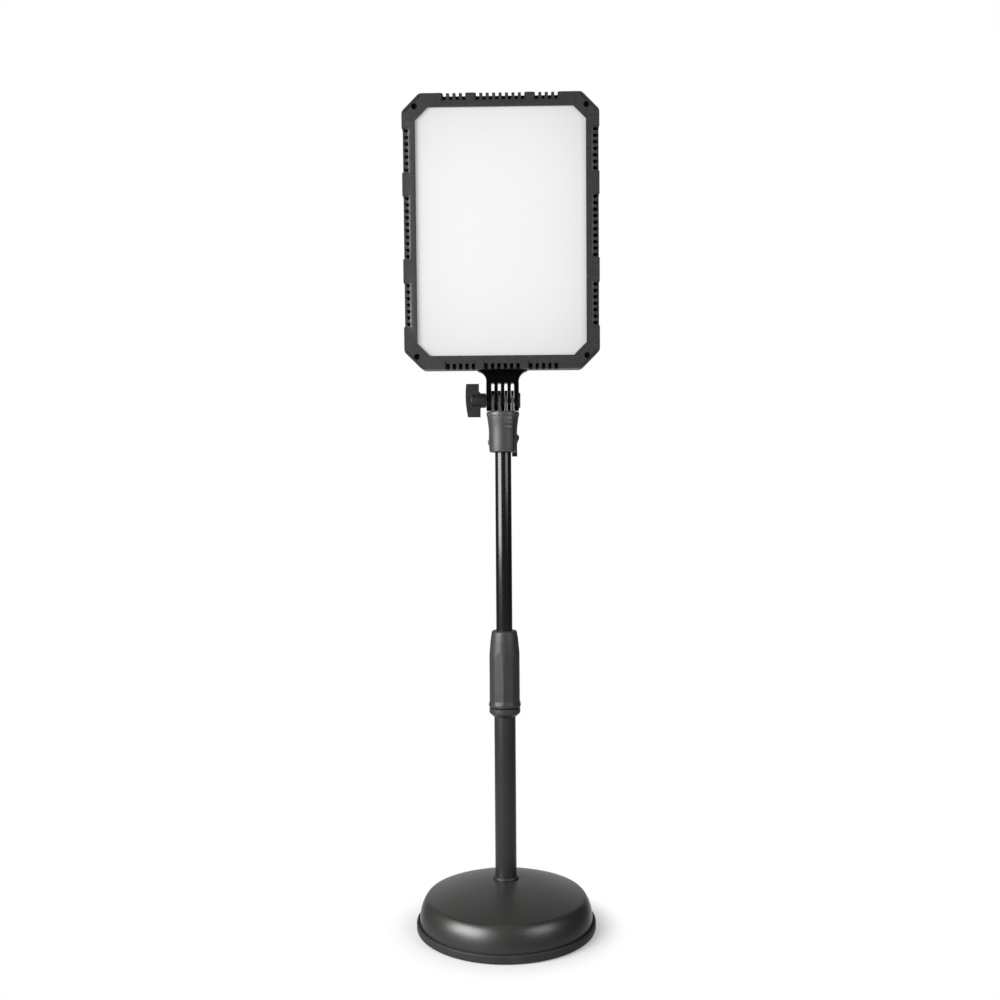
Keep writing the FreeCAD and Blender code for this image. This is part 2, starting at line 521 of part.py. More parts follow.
def slab_edge(z_mid, count):
    """First and last coordinate of a group of slots, with a margin at each end."""
    half = ((count - 1) * SLOT_PITCH + SLOT_W) / 2 + 1.2
    return z_mid - half, z_mid + half


def side_group(sign, mid, count):
    """What a group of vents takes off one side of the bezel."""
    edge = HEAD_W / 2
    z0, z1 = slab_edge(HEAD_MID + mid, count)
    face = [(edge + 2, FRONT_Y - 1), (edge + 2, FRONT_Y + FACE_STEP), (edge - STEP_IN, FRONT_Y + FACE_STEP),
            (edge - STEP_IN - BEVEL_W, FRONT_Y), (edge - STEP_IN - BEVEL_W, FRONT_Y - 1)]
    ring = [V(sign * x, y, z0) for x, y in face]
    cuts = [Part.Face(Part.makePolygon(ring + ring[:1])).extrude(V(0, 0, z1 - z0))]
    x0, x1 = sorted((sign * (edge - SIDE_STEP), sign * (edge + 2)))
    cuts.append(box(x0, x1, FRONT_Y - 1, SEAM_Y + 1, z0, z1))
    x0, x1 = sorted((sign * (edge - SIDE_STEP - SIDE_SLOT), sign * (edge + 2)))
    for i in range(count):
        z = HEAD_MID + mid + (i - (count - 1) / 2) * SLOT_PITCH
        cuts.append(box(x0, x1, FRONT_Y - 1, SEAM_Y + 1, z - SLOT_W / 2, z + SLOT_W / 2))
    return cuts


def end_group(sign, mid, count, depth):
    """The same along the top or bottom edge."""
    edge = HEAD_MID + sign * HEAD_H / 2
    x0, x1 = slab_edge(mid, count)
    face = [(2, FRONT_Y - 1), (2, FRONT_Y + FACE_STEP), (-STEP_IN - 1, FRONT_Y + FACE_STEP),
            (-STEP_IN - 1 - BEVEL_W, FRONT_Y), (-STEP_IN - 1 - BEVEL_W, FRONT_Y - 1)]
    ring = [V(x0, y, edge + sign * z) for z, y in face]
    cuts = [Part.Face(Part.makePolygon(ring + ring[:1])).extrude(V(x1 - x0, 0, 0))]
    z0, z1 = sorted((edge - sign * depth, edge + sign * 2))
    for i in range(count):
        x = mid + (i - (count - 1) / 2) * SLOT_PITCH
        cuts.append(box(x - SLOT_W / 2, x + SLOT_W / 2, FRONT_Y - 1, SEAM_Y + 1, z0, z1))
    return cuts


def front_bezel():
    """Cut-cornered frame: comb vents all round, screw bosses at the corners."""
    body = octagon(HEAD_W, HEAD_H, CORNER_CUT, FRONT_Y, SEAM_Y, CORNER_ROUND)
    body = fuse([body] + [rod_y(BOSS_R, FRONT_Y, SEAM_Y, x, z) for x, z in four_corners()])
    cuts = [octagon(POCKET_W, POCKET_H, POCKET_CUT, FRONT_Y + LIP_T, SEAM_Y + 1),
            octagon(WINDOW_W, WINDOW_H, WINDOW_CUT, FRONT_Y - 1, SEAM_Y)] + corner_grooves()
    for mid, count in SIDE_GROUPS:
        cuts += side_group(-1, mid, count) + side_group(1, mid, count)
    for mid, count in TOP_GROUPS:
        cuts += end_group(1, mid, count, TOP_SLOT)
    for mid, count in BOTTOM_GROUPS:
        cuts += end_group(-1, mid, count, BOTTOM_SLOT)
    for x, z in four_corners():
        cuts.append(rod_y(RECESS_R, FRONT_Y - 1, FRONT_Y + RECESS_D, x, z))
        cuts.append(rod_y(SCREW_R + CLEAR, FRONT_Y, SEAM_Y + 1, x, z))
    return body.cut(cuts)


def corner_screws():
    """Four cross-head screws at the bottom of the corner recesses."""
    floor = FRONT_Y + RECESS_D
    top = floor - 2.0
    screws = []
    for x, z in four_corners():
        head = rod_y(RECESS_R - 0.25, top, floor - 0.05, x, z)
        shank = rod_y(SCREW_R - 0.02, floor - 0.1, SEAM_Y + 9, x, z)
        slots = [box(x - CROSS_L, x + CROSS_L, top - 1, top + 1, z - CROSS_W, z + CROSS_W),
                 box(x - CROSS_W, x + CROSS_W, top - 1, top + 1, z - CROSS_L, z + CROSS_L)]
        screws.append(head.fuse(shank).cut(slots))
    return Part.makeCompound(screws)


def rear_openings():
    """Holes in the back wall: two vent fields, dials, display, switch and inlet."""
    y0, y1 = BACK_Y - WALL - 0.5, BACK_Y + 1
    holes = []
    for row in VENT_ROWS:
        z0, z1 = HEAD_MID + row - VENT_HALF_LEN, HEAD_MID + row + VENT_HALF_LEN
        for i in range(VENT_COUNT):
            x = (i - (VENT_COUNT - 1) / 2) * VENT_PITCH
            holes.append(box(x - VENT_R, x + VENT_R, y0, y1, z0, z1))
            holes += [rod_y(VENT_R, y0, y1, x, z0), rod_y(VENT_R, y0, y1, x, z1)]
    for x in (-DIAL_X, DIAL_X):
        holes.append(rod_y(SHAFT_R + 1, y0, y1, x, HEAD_MID + CONTROL_Z))
    w, h, z = DISPLAY_W / 2, DISPLAY_H / 2, HEAD_MID + CONTROL_Z
    holes.append(box(-w, w, y0, y1, z - h, z + h))
    w, h, z = ROCKER_W / 2 + 0.1, ROCKER_H / 2 + 0.1, HEAD_MID + ROCKER_Z
    holes.append(box(ROCKER_X - w, ROCKER_X + w, y0, y1, z - h, z + h))
    holes.append(rod_y(INLET_R + 0.1, y0, y1, INLET_X, HEAD_MID + INLET_Z))
    return holes


def rear_housing():
    """Deep tray behind the bezel, with corner screw bosses and plate posts."""
    body = octagon(HEAD_W, HEAD_H, CORNER_CUT, SEAM_Y + 0.1, BACK_Y, CORNER_ROUND)
    rim = [e for e in body.Edges if e.BoundBox.YMin > BACK_Y - 0.01]
    body = body.makeChamfer(BACK_BEVEL, rim)
    hollow = octagon(HEAD_W - 2 * WALL, HEAD_H - 2 * WALL, CORNER_CUT - 1, SEAM_Y - 1, BACK_Y - WALL)
    rim = [e for e in hollow.Edges if e.BoundBox.YMin > BACK_Y - WALL - 0.01]
    hollow = hollow.makeChamfer(BACK_BEVEL - 0.6, rim)
    body = body.cut(hollow)
    posts = [rod_y(BOSS_R, SEAM_Y + 0.1, BACK_Y - 2, x, z) for x, z in four_corners()]
    posts += [rod_y(POST_R, SPREADER_Y + SPREADER_T, BACK_Y - 1, x, z) for x, z in post_places()]
    body = fuse([body] + posts)
    cuts = rear_openings()
    cuts += [rod_y(SCREW_R, SEAM_Y - 1, SEAM_Y + 11, x, z) for x, z in four_corners()]
    cuts += [rod_y(POST_SCREW_R, SEAM_Y - 9, SEAM_Y + 9, x, z) for x, z in post_places()]
    cuts += [cyl(BRACKET_SCREW_R + 0.2, HEAD_BOTTOM - 1, HEAD_BOTTOM + WALL + 1, x, 0)
             for x in (-BRACKET_SCREW_X, BRACKET_SCREW_X)]
    return body.cut(cuts)


def post_places():
    return [(sx * POST_X, HEAD_MID + z) for sx in (-1, 1) for z in POST_ROWS]


def diffuser_panel():
    return octagon(POCKET_W - 0.4, POCKET_H - 0.4, POCKET_CUT, DIFFUSER_Y, DIFFUSER_Y + DIFFUSER_T)


def light_guide_plate():
    return octagon(GUIDE_W, GUIDE_H, GUIDE_CUT, GUIDE_Y, GUIDE_Y + GUIDE_T)


def reflector_sheet():
    return octagon(GUIDE_W, GUIDE_H, GUIDE_CUT, REFLECTOR_Y, REFLECTOR_Y + REFLECTOR_T)


def heat_spreader():
    """Aluminium back plate with folded sides that carry the strips."""
    plate = octagon(SPREADER_W, SPREADER_H, SPREADER_CUT, SPREADER_Y, SPREADER_Y + SPREADER_T)
    z = STRIP_LEN / 2
    walls = []
    for sign in (-1, 1):
        x0, x1 = strip_x(sign, -SPREADER_WALL, 0)
        walls.append(box(x0, x1, GUIDE_Y - 0.1, SPREADER_Y + 0.5, HEAD_MID - z, HEAD_MID + z))
    body = fuse([plate] + walls)
    y0, y1 = SPREADER_Y - 1, SPREADER_Y + SPREADER_T + 1
    return body.cut([rod_y(POST_SCREW_R + 0.5, y0, y1, x, z) for x, z in post_places()])


def spreader_screws():
    screws = []
    for x, z in post_places():
        screws.append(rod_y(POST_SCREW_R - 0.05, SPREADER_Y + 0.05, SEAM_Y + 6, x, z))
    return Part.makeCompound(screws)


def strip_x(sign, near, far):
    """Order two distances from the strip's wall, on one side of the head."""
    wall = SPREADER_W / 2 - SPREADER_WALL
    return sorted((sign * (wall - near), sign * (wall - far)))


def led_strip(sign):
    x0, x1 = strip_x(sign, 0.02, STRIP_T)
    half = STRIP_LEN / 2
    return box(x0, x1, GUIDE_Y - 0.1, GUIDE_Y - 0.1 + STRIP_DEPTH, HEAD_MID - half, HEAD_MID + half)


def led_chips(sign):
    x0, x1 = strip_x(sign, STRIP_T, STRIP_T + CHIP_T)
    chips = []
    for i in range(CHIPS):
        z = HEAD_MID + (i - (CHIPS - 1) / 2) * CHIP_PITCH
        chips.append(box(x0, x1, GUIDE_Y + 0.4, GUIDE_Y + 0.4 + CHIP_W, z - CHIP_L / 2, z + CHIP_L / 2))
    return Part.makeCompound(chips)


def plate_at(w, h, y0, y1, x=0.0, z=0.0):
    return box(x - w / 2, x + w / 2, y0, y1, HEAD_MID + z - h / 2, HEAD_MID + z + h / 2)


def driver_board():
    board = plate_at(DRIVER_W, DRIVER_H, DRIVER_Y, DRIVER_Y + BOARD_T, 0, DRIVER_Z)
    return board.cut([rod_y(BOARD_HOLE_R, DRIVER_Y - 1, DRIVER_Y + 3, x, z) for x, z in BOARD_HOLES])


def driver_spacers():
    return Part.makeCompound([
        rod_y(SPACER_R, SPREADER_Y + SPREADER_T, DRIVER_Y, x, z).cut(
            rod_y(BOARD_SCREW_R + 0.1, SPREADER_Y, DRIVER_Y + 1, x, z))
        for x, z in BOARD_HOLES])


def board_screws():
    return Part.makeCompound([
        rod_y(BOARD_SCREW_R, DRIVER_Y - 4, DRIVER_Y + BOARD_T, x, z).fuse(
            rod_y(2 * BOARD_SCREW_R, DRIVER_Y + BOARD_T, DRIVER_Y + BOARD_T + 1.6, x, z)).removeSplitter()
        for x, z in BOARD_HOLES])


def driver_inductor():
    y = DRIVER_Y + BOARD_T
    z = HEAD_MID + DRIVER_Z
    core = rod_y(INDUCTOR_R, y, y + INDUCTOR_H, INDUCTOR_X, z)
    return core.cut(rod_y(INDUCTOR_HOLE_R, y + 3, y + INDUCTOR_H + 1, INDUCTOR_X, z))


def driver_capacitors():
    y = DRIVER_Y + BOARD_T
    return Part.makeCompound([rod_y(CAPACITOR_R, y, y + CAPACITOR_H, x, HEAD_MID + DRIVER_Z + z)
                              for x in CAPACITOR_XS for z in CAPACITOR_ZS])


def driver_heat_sink():
    """Finned block on the switching transistors."""
    y = DRIVER_Y + BOARD_T
    block = plate_at(SINK_W, SINK_H, y, y + SINK_D, SINK_X, DRIVER_Z)
    gaps = [SINK_X + (i - 1.5) * FIN_PITCH for i in range(4)]
    y0, y1 = y + SINK_BASE, y + SINK_D + 1
    return block.cut([plate_at(FIN_GAP, SINK_H + 2, y0, y1, x, DRIVER_Z) for x in gaps])


def control_board():
    return plate_at(CONTROL_W, CONTROL_H, CONTROL_Y, CONTROL_Y + BOARD_T, 0, CONTROL_Z)


def display_module():
    w, h = DISPLAY_W + 2 * DISPLAY_RIM, DISPLAY_H + 2 * DISPLAY_RIM
    return plate_at(w, h, CONTROL_Y + BOARD_T, BACK_Y - WALL - 0.05, 0, CONTROL_Z)


def display_window():
    return plate_at(DISPLAY_W - 0.1, DISPLAY_H - 0.1, BACK_Y - WALL, BACK_Y - 0.4, 0, CONTROL_Z)


def dial_encoder(sign):
    x, z = sign * DIAL_X, CONTROL_Z
    body = plate_at(ENCODER_W, ENCODER_W, CONTROL_Y + BOARD_T, BACK_Y - WALL - 0.05, x, z)
    return body.cut(rod_y(SHAFT_R + RUNNING, CONTROL_Y + BOARD_T + 2, BACK_Y, x, HEAD_MID + z))


def dial_shaft(sign):
    x, z = sign * DIAL_X, HEAD_MID + CONTROL_Z
    return rod_y(SHAFT_R, CONTROL_Y + BOARD_T + 2.2, BACK_Y + SHAFT_OUT, x, z)


def dial(sign):
    """Rotary knob with a fluted rim and a pointer groove."""
    x, z = sign * DIAL_X, HEAD_MID + CONTROL_Z
    low, high = BACK_Y + 0.5, BACK_Y + DIAL_H
    body = rod_y(DIAL_R, low, high, x, z)
    body = body.makeChamfer(1.0, [e for e in body.Edges if e.BoundBox.YMin > high - 0.01])
    flutes = []
    reach = DIAL_R + 0.3
    for i in range(FLUTES):
        a = 2 * math.pi * i / FLUTES
        flutes.append(rod_y(FLUTE_R, low + 2, high + 1, x + reach * math.cos(a), z + reach * math.sin(a)))
    body = body.cut(flutes).cut(box(x - 0.5, x + 0.5, high - 0.6, high + 1, z + 3, z + DIAL_R - 1.5))
    return body.cut(rod_y(SHAFT_R, BACK_Y - 1, BACK_Y + SHAFT_OUT, x, z))


def switch_body():
    """Frame and box of the rocker switch, snapped into the back wall."""
    w, h, x, z = ROCKER_W, ROCKER_H, ROCKER_X, ROCKER_Z
    body = plate_at(w, h, BACK_Y - SWITCH_D, BACK_Y + 0.05, x, z)
    rim = plate_at(w + 3, h + 3, BACK_Y + 0.05, BACK_Y + 1.6, x, z)
    rim = rim.makeChamfer(0.7, [e for e in rim.Edges if e.BoundBox.YMin > BACK_Y + 1.55])
    return fuse([body, rim]).cut(plate_at(w - 3, h - 3, BACK_Y - 7, BACK_Y + 3, x, z))


def power_rocker():
    """Shallow V-shaped rocker about a cross axis, tipped to one side at rest."""
    x, z, y = ROCKER_X, HEAD_MID + ROCKER_Z, BACK_Y - 1.0
    w, h = (ROCKER_W - 4.2) / 2, (ROCKER_H - 4.4) / 2
    side = [(-0.6, -h), (2.2, -h), (1.2, 0), (2.2, h), (-0.6, h), (-3.6, 0)]
    outline = [V(x - w, y + dy, z + dz) for dy, dz in side]
    rocker = Part.Face(Part.makePolygon(outline + outline[:1])).extrude(V(2 * w, 0, 0))
    rocker.rotate(V(x, y, z), X_AXIS, ROCKER_DEG)
    return rocker


def power_inlet():
    """Barrel socket with a centre pin, fitted through the back wall."""
    x, z = INLET_X, HEAD_MID + INLET_Z
    low, rim = BACK_Y - INLET_D, BACK_Y + 0.05
    body = fuse([rod_y(INLET_R, low, rim, x, z), rod_y(INLET_RIM_R, rim, BACK_Y + 1.4, x, z)])
    body = body.cut(rod_y(PLUG_BORE_R, low + 1.5, BACK_Y + 3, x, z))
    return fuse([body, rod_y(PLUG_PIN_R, low + 1, BACK_Y - 0.6, x, z)])


FIXED_NODES = {
    "base_foot_ring": base_foot_ring, "base_bottom_plate": base_bottom_plate, "base_weight": base_weight,
    "base_cover": base_cover, "base_bolt": base_bolt, "base_washer": base_washer, "tube_plug": tube_plug,
    "lower_tube": lower_tube, "tube_flange_ring": tube_flange_ring, "clutch_body": clutch_body,
    "clutch_collet": clutch_collet, "clutch_grip": clutch_grip, "upper_tube": upper_tube,
    "guide_bush": guide_bush, "tube_top_plug": tube_top_plug, "socket_collar": socket_collar,
    "clamp_bolt": clamp_bolt, "clamp_bolt_head": clamp_bolt_head, "clamp_pin": clamp_pin,
    "clamp_lever": clamp_lever,
}
HEAD_NODES = {
    "tilt_bracket": tilt_bracket, "bracket_screws": bracket_screws, "tilt_nut": tilt_nut,
    "tilt_nut_cap": tilt_nut_cap, "tilt_stud": tilt_stud, "knob_washer": knob_washer, "tilt_knob": tilt_knob,
    "front_bezel": front_bezel, "corner_screws": corner_screws, "rear_housing": rear_housing,
    "diffuser_panel": diffuser_panel, "light_guide_plate": light_guide_plate,
    "reflector_sheet": reflector_sheet, "heat_spreader": heat_spreader, "spreader_screws": spreader_screws,
    "driver_board": driver_board, "driver_spacers": driver_spacers, "board_screws": board_screws,
    "driver_inductor": driver_inductor, "driver_capacitors": driver_capacitors,
    "driver_heat_sink": driver_heat_sink, "control_board": control_board, "display_module": display_module,
    "display_window": display_window, "switch_body": switch_body, "power_rocker": power_rocker,
    "power_inlet": power_inlet,
}
PAIRED_NODES = {"led_strip": led_strip, "led_chips": led_chips}
DIAL_NODES = {"encoder": dial_encoder, "shaft": dial_shaft, "dial": dial}

os.makedirs("parts", exist_ok=True)
for name, make in FIXED_NODES.items():
    save(name, make())
for name, make in HEAD_NODES.items():
    save(name, lean(make()))
for name, make in PAIRED_NODES.items():
    save(name + "_left", lean(make(-1)))
    save(name + "_right", lean(make(1)))
for name, make in DIAL_NODES.items():
    save("brightness_" + name, lean(make(-1)))
    save("colour_" + name, lean(make(1)))
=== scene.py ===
import bmesh
import bpy
import json
import math
from mathutils import Matrix, Vector

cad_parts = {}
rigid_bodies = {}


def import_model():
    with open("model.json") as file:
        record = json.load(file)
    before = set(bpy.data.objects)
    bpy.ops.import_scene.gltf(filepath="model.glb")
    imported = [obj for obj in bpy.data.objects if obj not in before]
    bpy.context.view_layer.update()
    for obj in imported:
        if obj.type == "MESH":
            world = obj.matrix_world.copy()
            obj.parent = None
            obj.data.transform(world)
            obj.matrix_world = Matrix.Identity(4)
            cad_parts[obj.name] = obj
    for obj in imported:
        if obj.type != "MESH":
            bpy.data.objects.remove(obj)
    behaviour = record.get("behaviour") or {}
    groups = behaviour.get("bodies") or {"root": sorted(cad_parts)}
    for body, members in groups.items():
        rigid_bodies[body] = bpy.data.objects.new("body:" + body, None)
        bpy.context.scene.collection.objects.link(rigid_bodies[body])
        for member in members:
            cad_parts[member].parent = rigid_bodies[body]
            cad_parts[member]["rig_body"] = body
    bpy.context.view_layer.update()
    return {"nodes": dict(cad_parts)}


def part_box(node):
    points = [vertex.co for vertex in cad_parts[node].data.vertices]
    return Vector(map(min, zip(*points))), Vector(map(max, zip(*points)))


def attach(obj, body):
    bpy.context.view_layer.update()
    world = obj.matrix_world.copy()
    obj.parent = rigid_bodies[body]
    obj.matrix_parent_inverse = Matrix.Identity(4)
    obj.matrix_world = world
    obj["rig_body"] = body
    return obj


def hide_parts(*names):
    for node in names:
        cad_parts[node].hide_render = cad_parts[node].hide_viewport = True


# Looks of a soft light panel on a weighted telescopic stand, in metres.
# +Z is up, the lamp faces -Y and the mast stands on the origin.

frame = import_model()
MM = 0.001
AROUND = 192

# Driving sizes of the turned pieces, in millimetres, as the frame has them.
FOOT_R, FOOT_H, FOOT_INNER_R, LEDGE_Z = 90.5, 8.6, 84.2, 5.0
COVER_R, COVER_WALL = 87.4, 1.8
SHOULDER_R, SHOULDER_Z, CROWN_R, CROWN_Z = 75.9, 33.1, 12.7, 49.3
CROWN_MID_R, CROWN_MID_Z = 41.5, 47.0
LOWER_R, LOWER_BOTTOM_Z, LOWER_TOP_Z, LOWER_WALL = 10.8, 40.0, 250.0, 1.3
UPPER_R, UPPER_BOTTOM_Z, UPPER_TOP_Z, UPPER_WALL = 8.2, 218.0, 513.0, 1.0
FLANGE_R, FLANGE_H = 13.0, 2.6
CLUTCH_BOTTOM_Z, CLUTCH_RING_TOP_Z, CLUTCH_TOP_Z, CLUTCH_RING_R = 214.0, 222.4, 300.2, 15.7
GRIP_R, GRIP_LIP_R, GRIP_NOSE_R, GRIP_FLATS, GRIP_FLAT_R = 15.8, 16.2, 12.8, 10, 15.1
NECK_R, NECK_TOP_Z, COLLET_TOP_Z = 13.1, 262.0, 288.0
PIVOT_Z, LEAN = 533.6, math.radians(3.1)
HEAD_MID, BACK_Y = 164.7, 11.0
DIAL_X, DIAL_Z, DIAL_R = 46.0, -62.0, 11.0
DISPLAY_W, DISPLAY_H, DISPLAY_SUNK = 38.0, 22.0, 0.4
# The last two sizes are of the thin dark disc put in the hinge gap as painted shade.
COLLAR_TOP_Z, SHADE_DISC_R, SHADE_DISC_T = 521.6, 16.2, 0.26

# Printed marks on the back: ink thickness, places from the head's middle, line widths and reaches.
INK_T, INK_CLEAR = 0.12, 0.01
SWITCH_X, SWITCH_Z, INLET_X, SIGN_DROP = -24.0, -96.0, 24.0, 19.5
SWITCH_SIGN_X, INLET_SIGN_X = SWITCH_X - 12.5, INLET_X - 11.5
FINE_LINE, LINE, POINTER_LINE = 0.4, 0.6, 0.9
DIAL_TICKS, TICK_GAP, TICK_END, END_TICK_END = 11, 1.9, 3.6, 4.6
BARS, POINTER_Y, POINTER_IN, POINTER_OUT = 10, 10.4, 3.2, 1.7

# Camera place in metres, and the strengths of the surround.
LENS = 37.8
CAMERA_RANGE, CAMERA_HEIGHT, CAMERA_SIDE = 1.066, 0.4326, -0.0035
CAMERA_ORBIT, CAMERA_ROLL = math.radians(1.0), math.radians(0.40)
ROOM, BACKDROP, BACKDROP_EDGE, BOUNCE = 0.04, 0.42, 0.72, 0.42


# ------------------------------------------------------------------ shader helpers

class Value:
    """A number socket in a finish. Arithmetic on it adds the Math nodes that work it out."""

    def __init__(self, finish, socket):
        self.finish = finish
        self.socket = socket

    def maths(self, operation, *terms):
        return self.finish.node("Math", {"operation": operation}, dict(enumerate(terms)))

    def __add__(self, other):
        return self.maths("ADD", self, other)

    __radd__ = __add__

    def __sub__(self, other):
        return self.maths("SUBTRACT", self, other)

    def __rsub__(self, other):
        return self.maths("SUBTRACT", other, self)

    def __mul__(self, other):
        return self.maths("MULTIPLY", self, other)

    __rmul__ = __mul__

    def __truediv__(self, other):
        return self.maths("DIVIDE", self, other)

    def __pow__(self, other):
        return self.maths("POWER", self, other)

    def at_most(self, ceiling):
        return self.maths("MINIMUM", self, ceiling)

    def part(self, axis):
        """One component of a vector socket."""
        return self.finish.node("SeparateXYZ", None, {"Vector": self}, axis)

    def step(self, low, high):
        """0 below low, 1 above high, smooth between them."""
        return self.finish.node("MapRange", {"interpolation_type": "SMOOTHSTEP"},
                                {0: self, 1: low, 2: high, 3: 0.0, 4: 1.0})


class Finish:
    """The node tree of one material, or of the world."""

    def __init__(self, name, owner=None):
        self.owner = owner or bpy.data.materials.new(name)
        self.owner.use_nodes = True
        self.tree = self.owner.node_tree
        self.tree.nodes.clear()
        self.place = self.node("TexCoord", output="Generated" if owner else "Object")

    def node(self, kind, settings=None, inputs=None, output=0):
        """Add a node: its settings first, then the values or links of its sockets."""
        made = self.tree.nodes.new("ShaderNode" + kind)
        for key, value in (settings or {}).items():
            setattr(made, key, value)
        for key, value in (inputs or {}).items():
            if isinstance(value, Value):
                self.tree.links.new(value.socket, made.inputs[key])
            else:
                made.inputs[key].default_value = value
        return Value(self, made.outputs[output])

    def stretched(self, size, stretch, seed):
        scale = [s / size for s in stretch]
        return self.node("VectorMath", {"operation": "MULTIPLY_ADD"},
                         {0: self.place, 1: scale, 2: (seed,) * 3})

    def cloud(self, size, detail=2.0, stretch=(1.0, 1.0, 1.0), seed=0.0):
        """Cloudy pattern from 0 to 1, its patches about size metres across."""
        place = self.stretched(size, stretch, seed)
        return self.node("TexNoise", None, {"Vector": place, "Scale": 1.0, "Detail": detail})

    def cells(self, size, seed=0.0):
        """Distance from scattered points about size metres apart, 0 at each point."""
        place = self.stretched(size, (1.0, 1.0, 1.0), seed)
        return self.node("TexVoronoi", None, {"Vector": place, "Scale": 1.0})

    def blend(self, factor, a, b):
        """Colour a where factor is 0 and colour b where it is 1."""
        colours = [c if isinstance(c, Value) else (*c, 1.0) for c in (a, b)]
        return self.node("Mix", {"data_type": "RGBA"}, {0: factor, 6: colours[0], 7: colours[1]}, 2)

    def facing(self, way):
        """How nearly the place's direction is the given one, 1 along it and 0 across it."""
        return self.node("VectorMath", {"operation": "DOT_PRODUCT"}, {0: self.place, 1: way}, "Value")

    def worn(self):
        """How exposed a moulded edge is, painted on the mesh from 0 to 1."""
        return self.node("Attribute", {"attribute_name": "edge_wear"}, output="Fac")

    def bumped(self, height, distance, strength=1.0, below=None):
        inputs = {"Height": height, "Distance": distance, "Strength": strength}
        if below is not None:
            inputs["Normal"] = below
        return self.node("Bump", None, inputs)

    def surface(self, **sockets):
        """Principled shader with these sockets, and the material's output."""
        inputs = {key.replace("_", " "): value for key, value in sockets.items()}
        shader = self.node("BsdfPrincipled", None, inputs)
        return self.ends(shader)

    def ends(self, shader, kind="OutputMaterial"):
        out = self.tree.nodes.new("ShaderNode" + kind)
        self.tree.links.new(shader.socket, out.inputs["Surface"])
        return self.owner


def grey(level, warm=0.0):
    return (level * (1 + warm), level, level * (1 - warm))


def lighter(colour, gain):
    return tuple(min(1.0, c * gain) for c in colour)


# ------------------------------------------------------------------ finishes

def moulded_plastic(name, colour, roughness, grain=0.45, depth=0.010, mottle=0.14, specular=0.5):
    """Moulded plastic with a spark-eroded texture, faint flow mottling and rubbed edges."""
    f = Finish(name)
    flow = f.cloud(22 * MM, 3.0, seed=3.1)
    pits = f.cells(grain * MM, seed=1.7)
    fine = f.cloud(grain * 0.45 * MM, 2.0, seed=8.2)
    rubbed = f.worn() * f.cloud(3.5 * MM, 3.0, seed=5.5).step(0.32, 0.62)
    tone = f.blend(flow, lighter(colour, 1 - mottle), lighter(colour, 1 + mottle))
    tone = f.blend(fine * 0.35, tone, lighter(colour, 1.5))
    tone = f.blend(rubbed * 0.45, tone, lighter(colour, 2.6))
    rough = roughness + (flow - 0.5) * 0.10 + (fine - 0.5) * 0.08 - rubbed * 0.10
    normal = f.bumped(pits * 0.6 + fine * 0.4, depth * MM, 0.7)
    return f.surface(Base_Color=tone, Roughness=rough, Normal=normal, Specular_IOR_Level=specular)


def painted_metal(name, colour, roughness, peel=0.02, coat=0.0, coat_roughness=0.1, speck=0.5, grit=0.006):
    """Sprayed paint on metal: orange peel, fine powder grain and dust nibs."""
    f = Finish(name)
    peeled = f.cloud(1.9 * MM, 1.5, seed=2.4)
    grain = f.cloud(0.28 * MM, 2.0, seed=6.9)
    drift = f.cloud(48 * MM, 3.0, seed=4.4)
    nibs = 1 - f.cells(7.5 * MM, seed=9.3).step(0.03, 0.07)
    tone = f.blend(drift, lighter(colour, 0.9), lighter(colour, 1.12))
    tone = f.blend(grain.step(0.55, 0.8) * speck, tone, lighter(colour, 1.9))
    rough = roughness + (drift - 0.5) * 0.07 + (grain - 0.5) * 0.06 + nibs * 0.1
    normal = f.bumped(peeled, peel * MM, 0.5)
    normal = f.bumped(grain * 0.5 + nibs, grit * MM, 0.6, normal)
    return f.surface(Base_Color=tone, Roughness=rough, Normal=normal, Coat_Weight=coat,
                     Coat_Roughness=coat_roughness)


def worked_metal(name, colour, roughness, along=(1.0, 1.0, 0.05), stain=0.12):
    """Bare or plated metal with fine working lines along one direction."""
    f = Finish(name)
    lines = f.cloud(0.35 * MM, 3.0, along, seed=1.3)
    stains = f.cloud(9 * MM, 4.0, seed=7.7)
    tone = f.blend(stains.step(0.35, 0.75), colour, lighter(colour, 1 - stain * 3))
    rough = roughness + (lines - 0.5) * 0.18 + stains * stain
    normal = f.bumped(lines, 0.006 * MM, 0.5)
    return f.surface(Base_Color=tone, Roughness=rough, Metallic=1.0, Normal=normal)


def foot_rubber():
    f = Finish("foot_rubber")
    dust = f.cloud(14 * MM, 4.0, seed=2.2)
    grain = f.cloud(0.5 * MM, 3.0, seed=5.1)
    tone = f.blend(dust.step(0.4, 0.8), grey(0.028), grey(0.040, 0.02))
    normal = f.bumped(grain, 0.02 * MM, 0.6)
    return f.surface(Base_Color=tone, Roughness=0.5 + dust * 0.12, Normal=normal, Specular_IOR_Level=0.45)


def cast_weight():
    f = Finish("cast_weight")
    lumps = f.cloud(3.2 * MM, 5.0, seed=1.1)
    rust = f.cloud(16 * MM, 5.0, seed=6.6).step(0.55, 0.75)
    tone = f.blend(lumps, grey(0.045), grey(0.09))
    tone = f.blend(rust * 0.6, tone, (0.13, 0.055, 0.028))
    normal = f.bumped(lumps, 0.25 * MM, 0.8)
    return f.surface(Base_Color=tone, Roughness=0.72 + rust * 0.15, Metallic=0.6 - rust * 0.5, Normal=normal)


def acetal():
    f = Finish("acetal")
    flow = f.cloud(6 * MM, 3.0, seed=3.3)
    tone = f.blend(flow, (0.78, 0.77, 0.73), (0.86, 0.85, 0.82))
    normal = f.bumped(f.cloud(0.4 * MM, 2.0), 0.008 * MM)
    return f.surface(Base_Color=tone, Roughness=0.38 + flow * 0.1, Normal=normal, Subsurface_Weight=0.1,
                     Subsurface_Radius=(0.002, 0.002, 0.002))


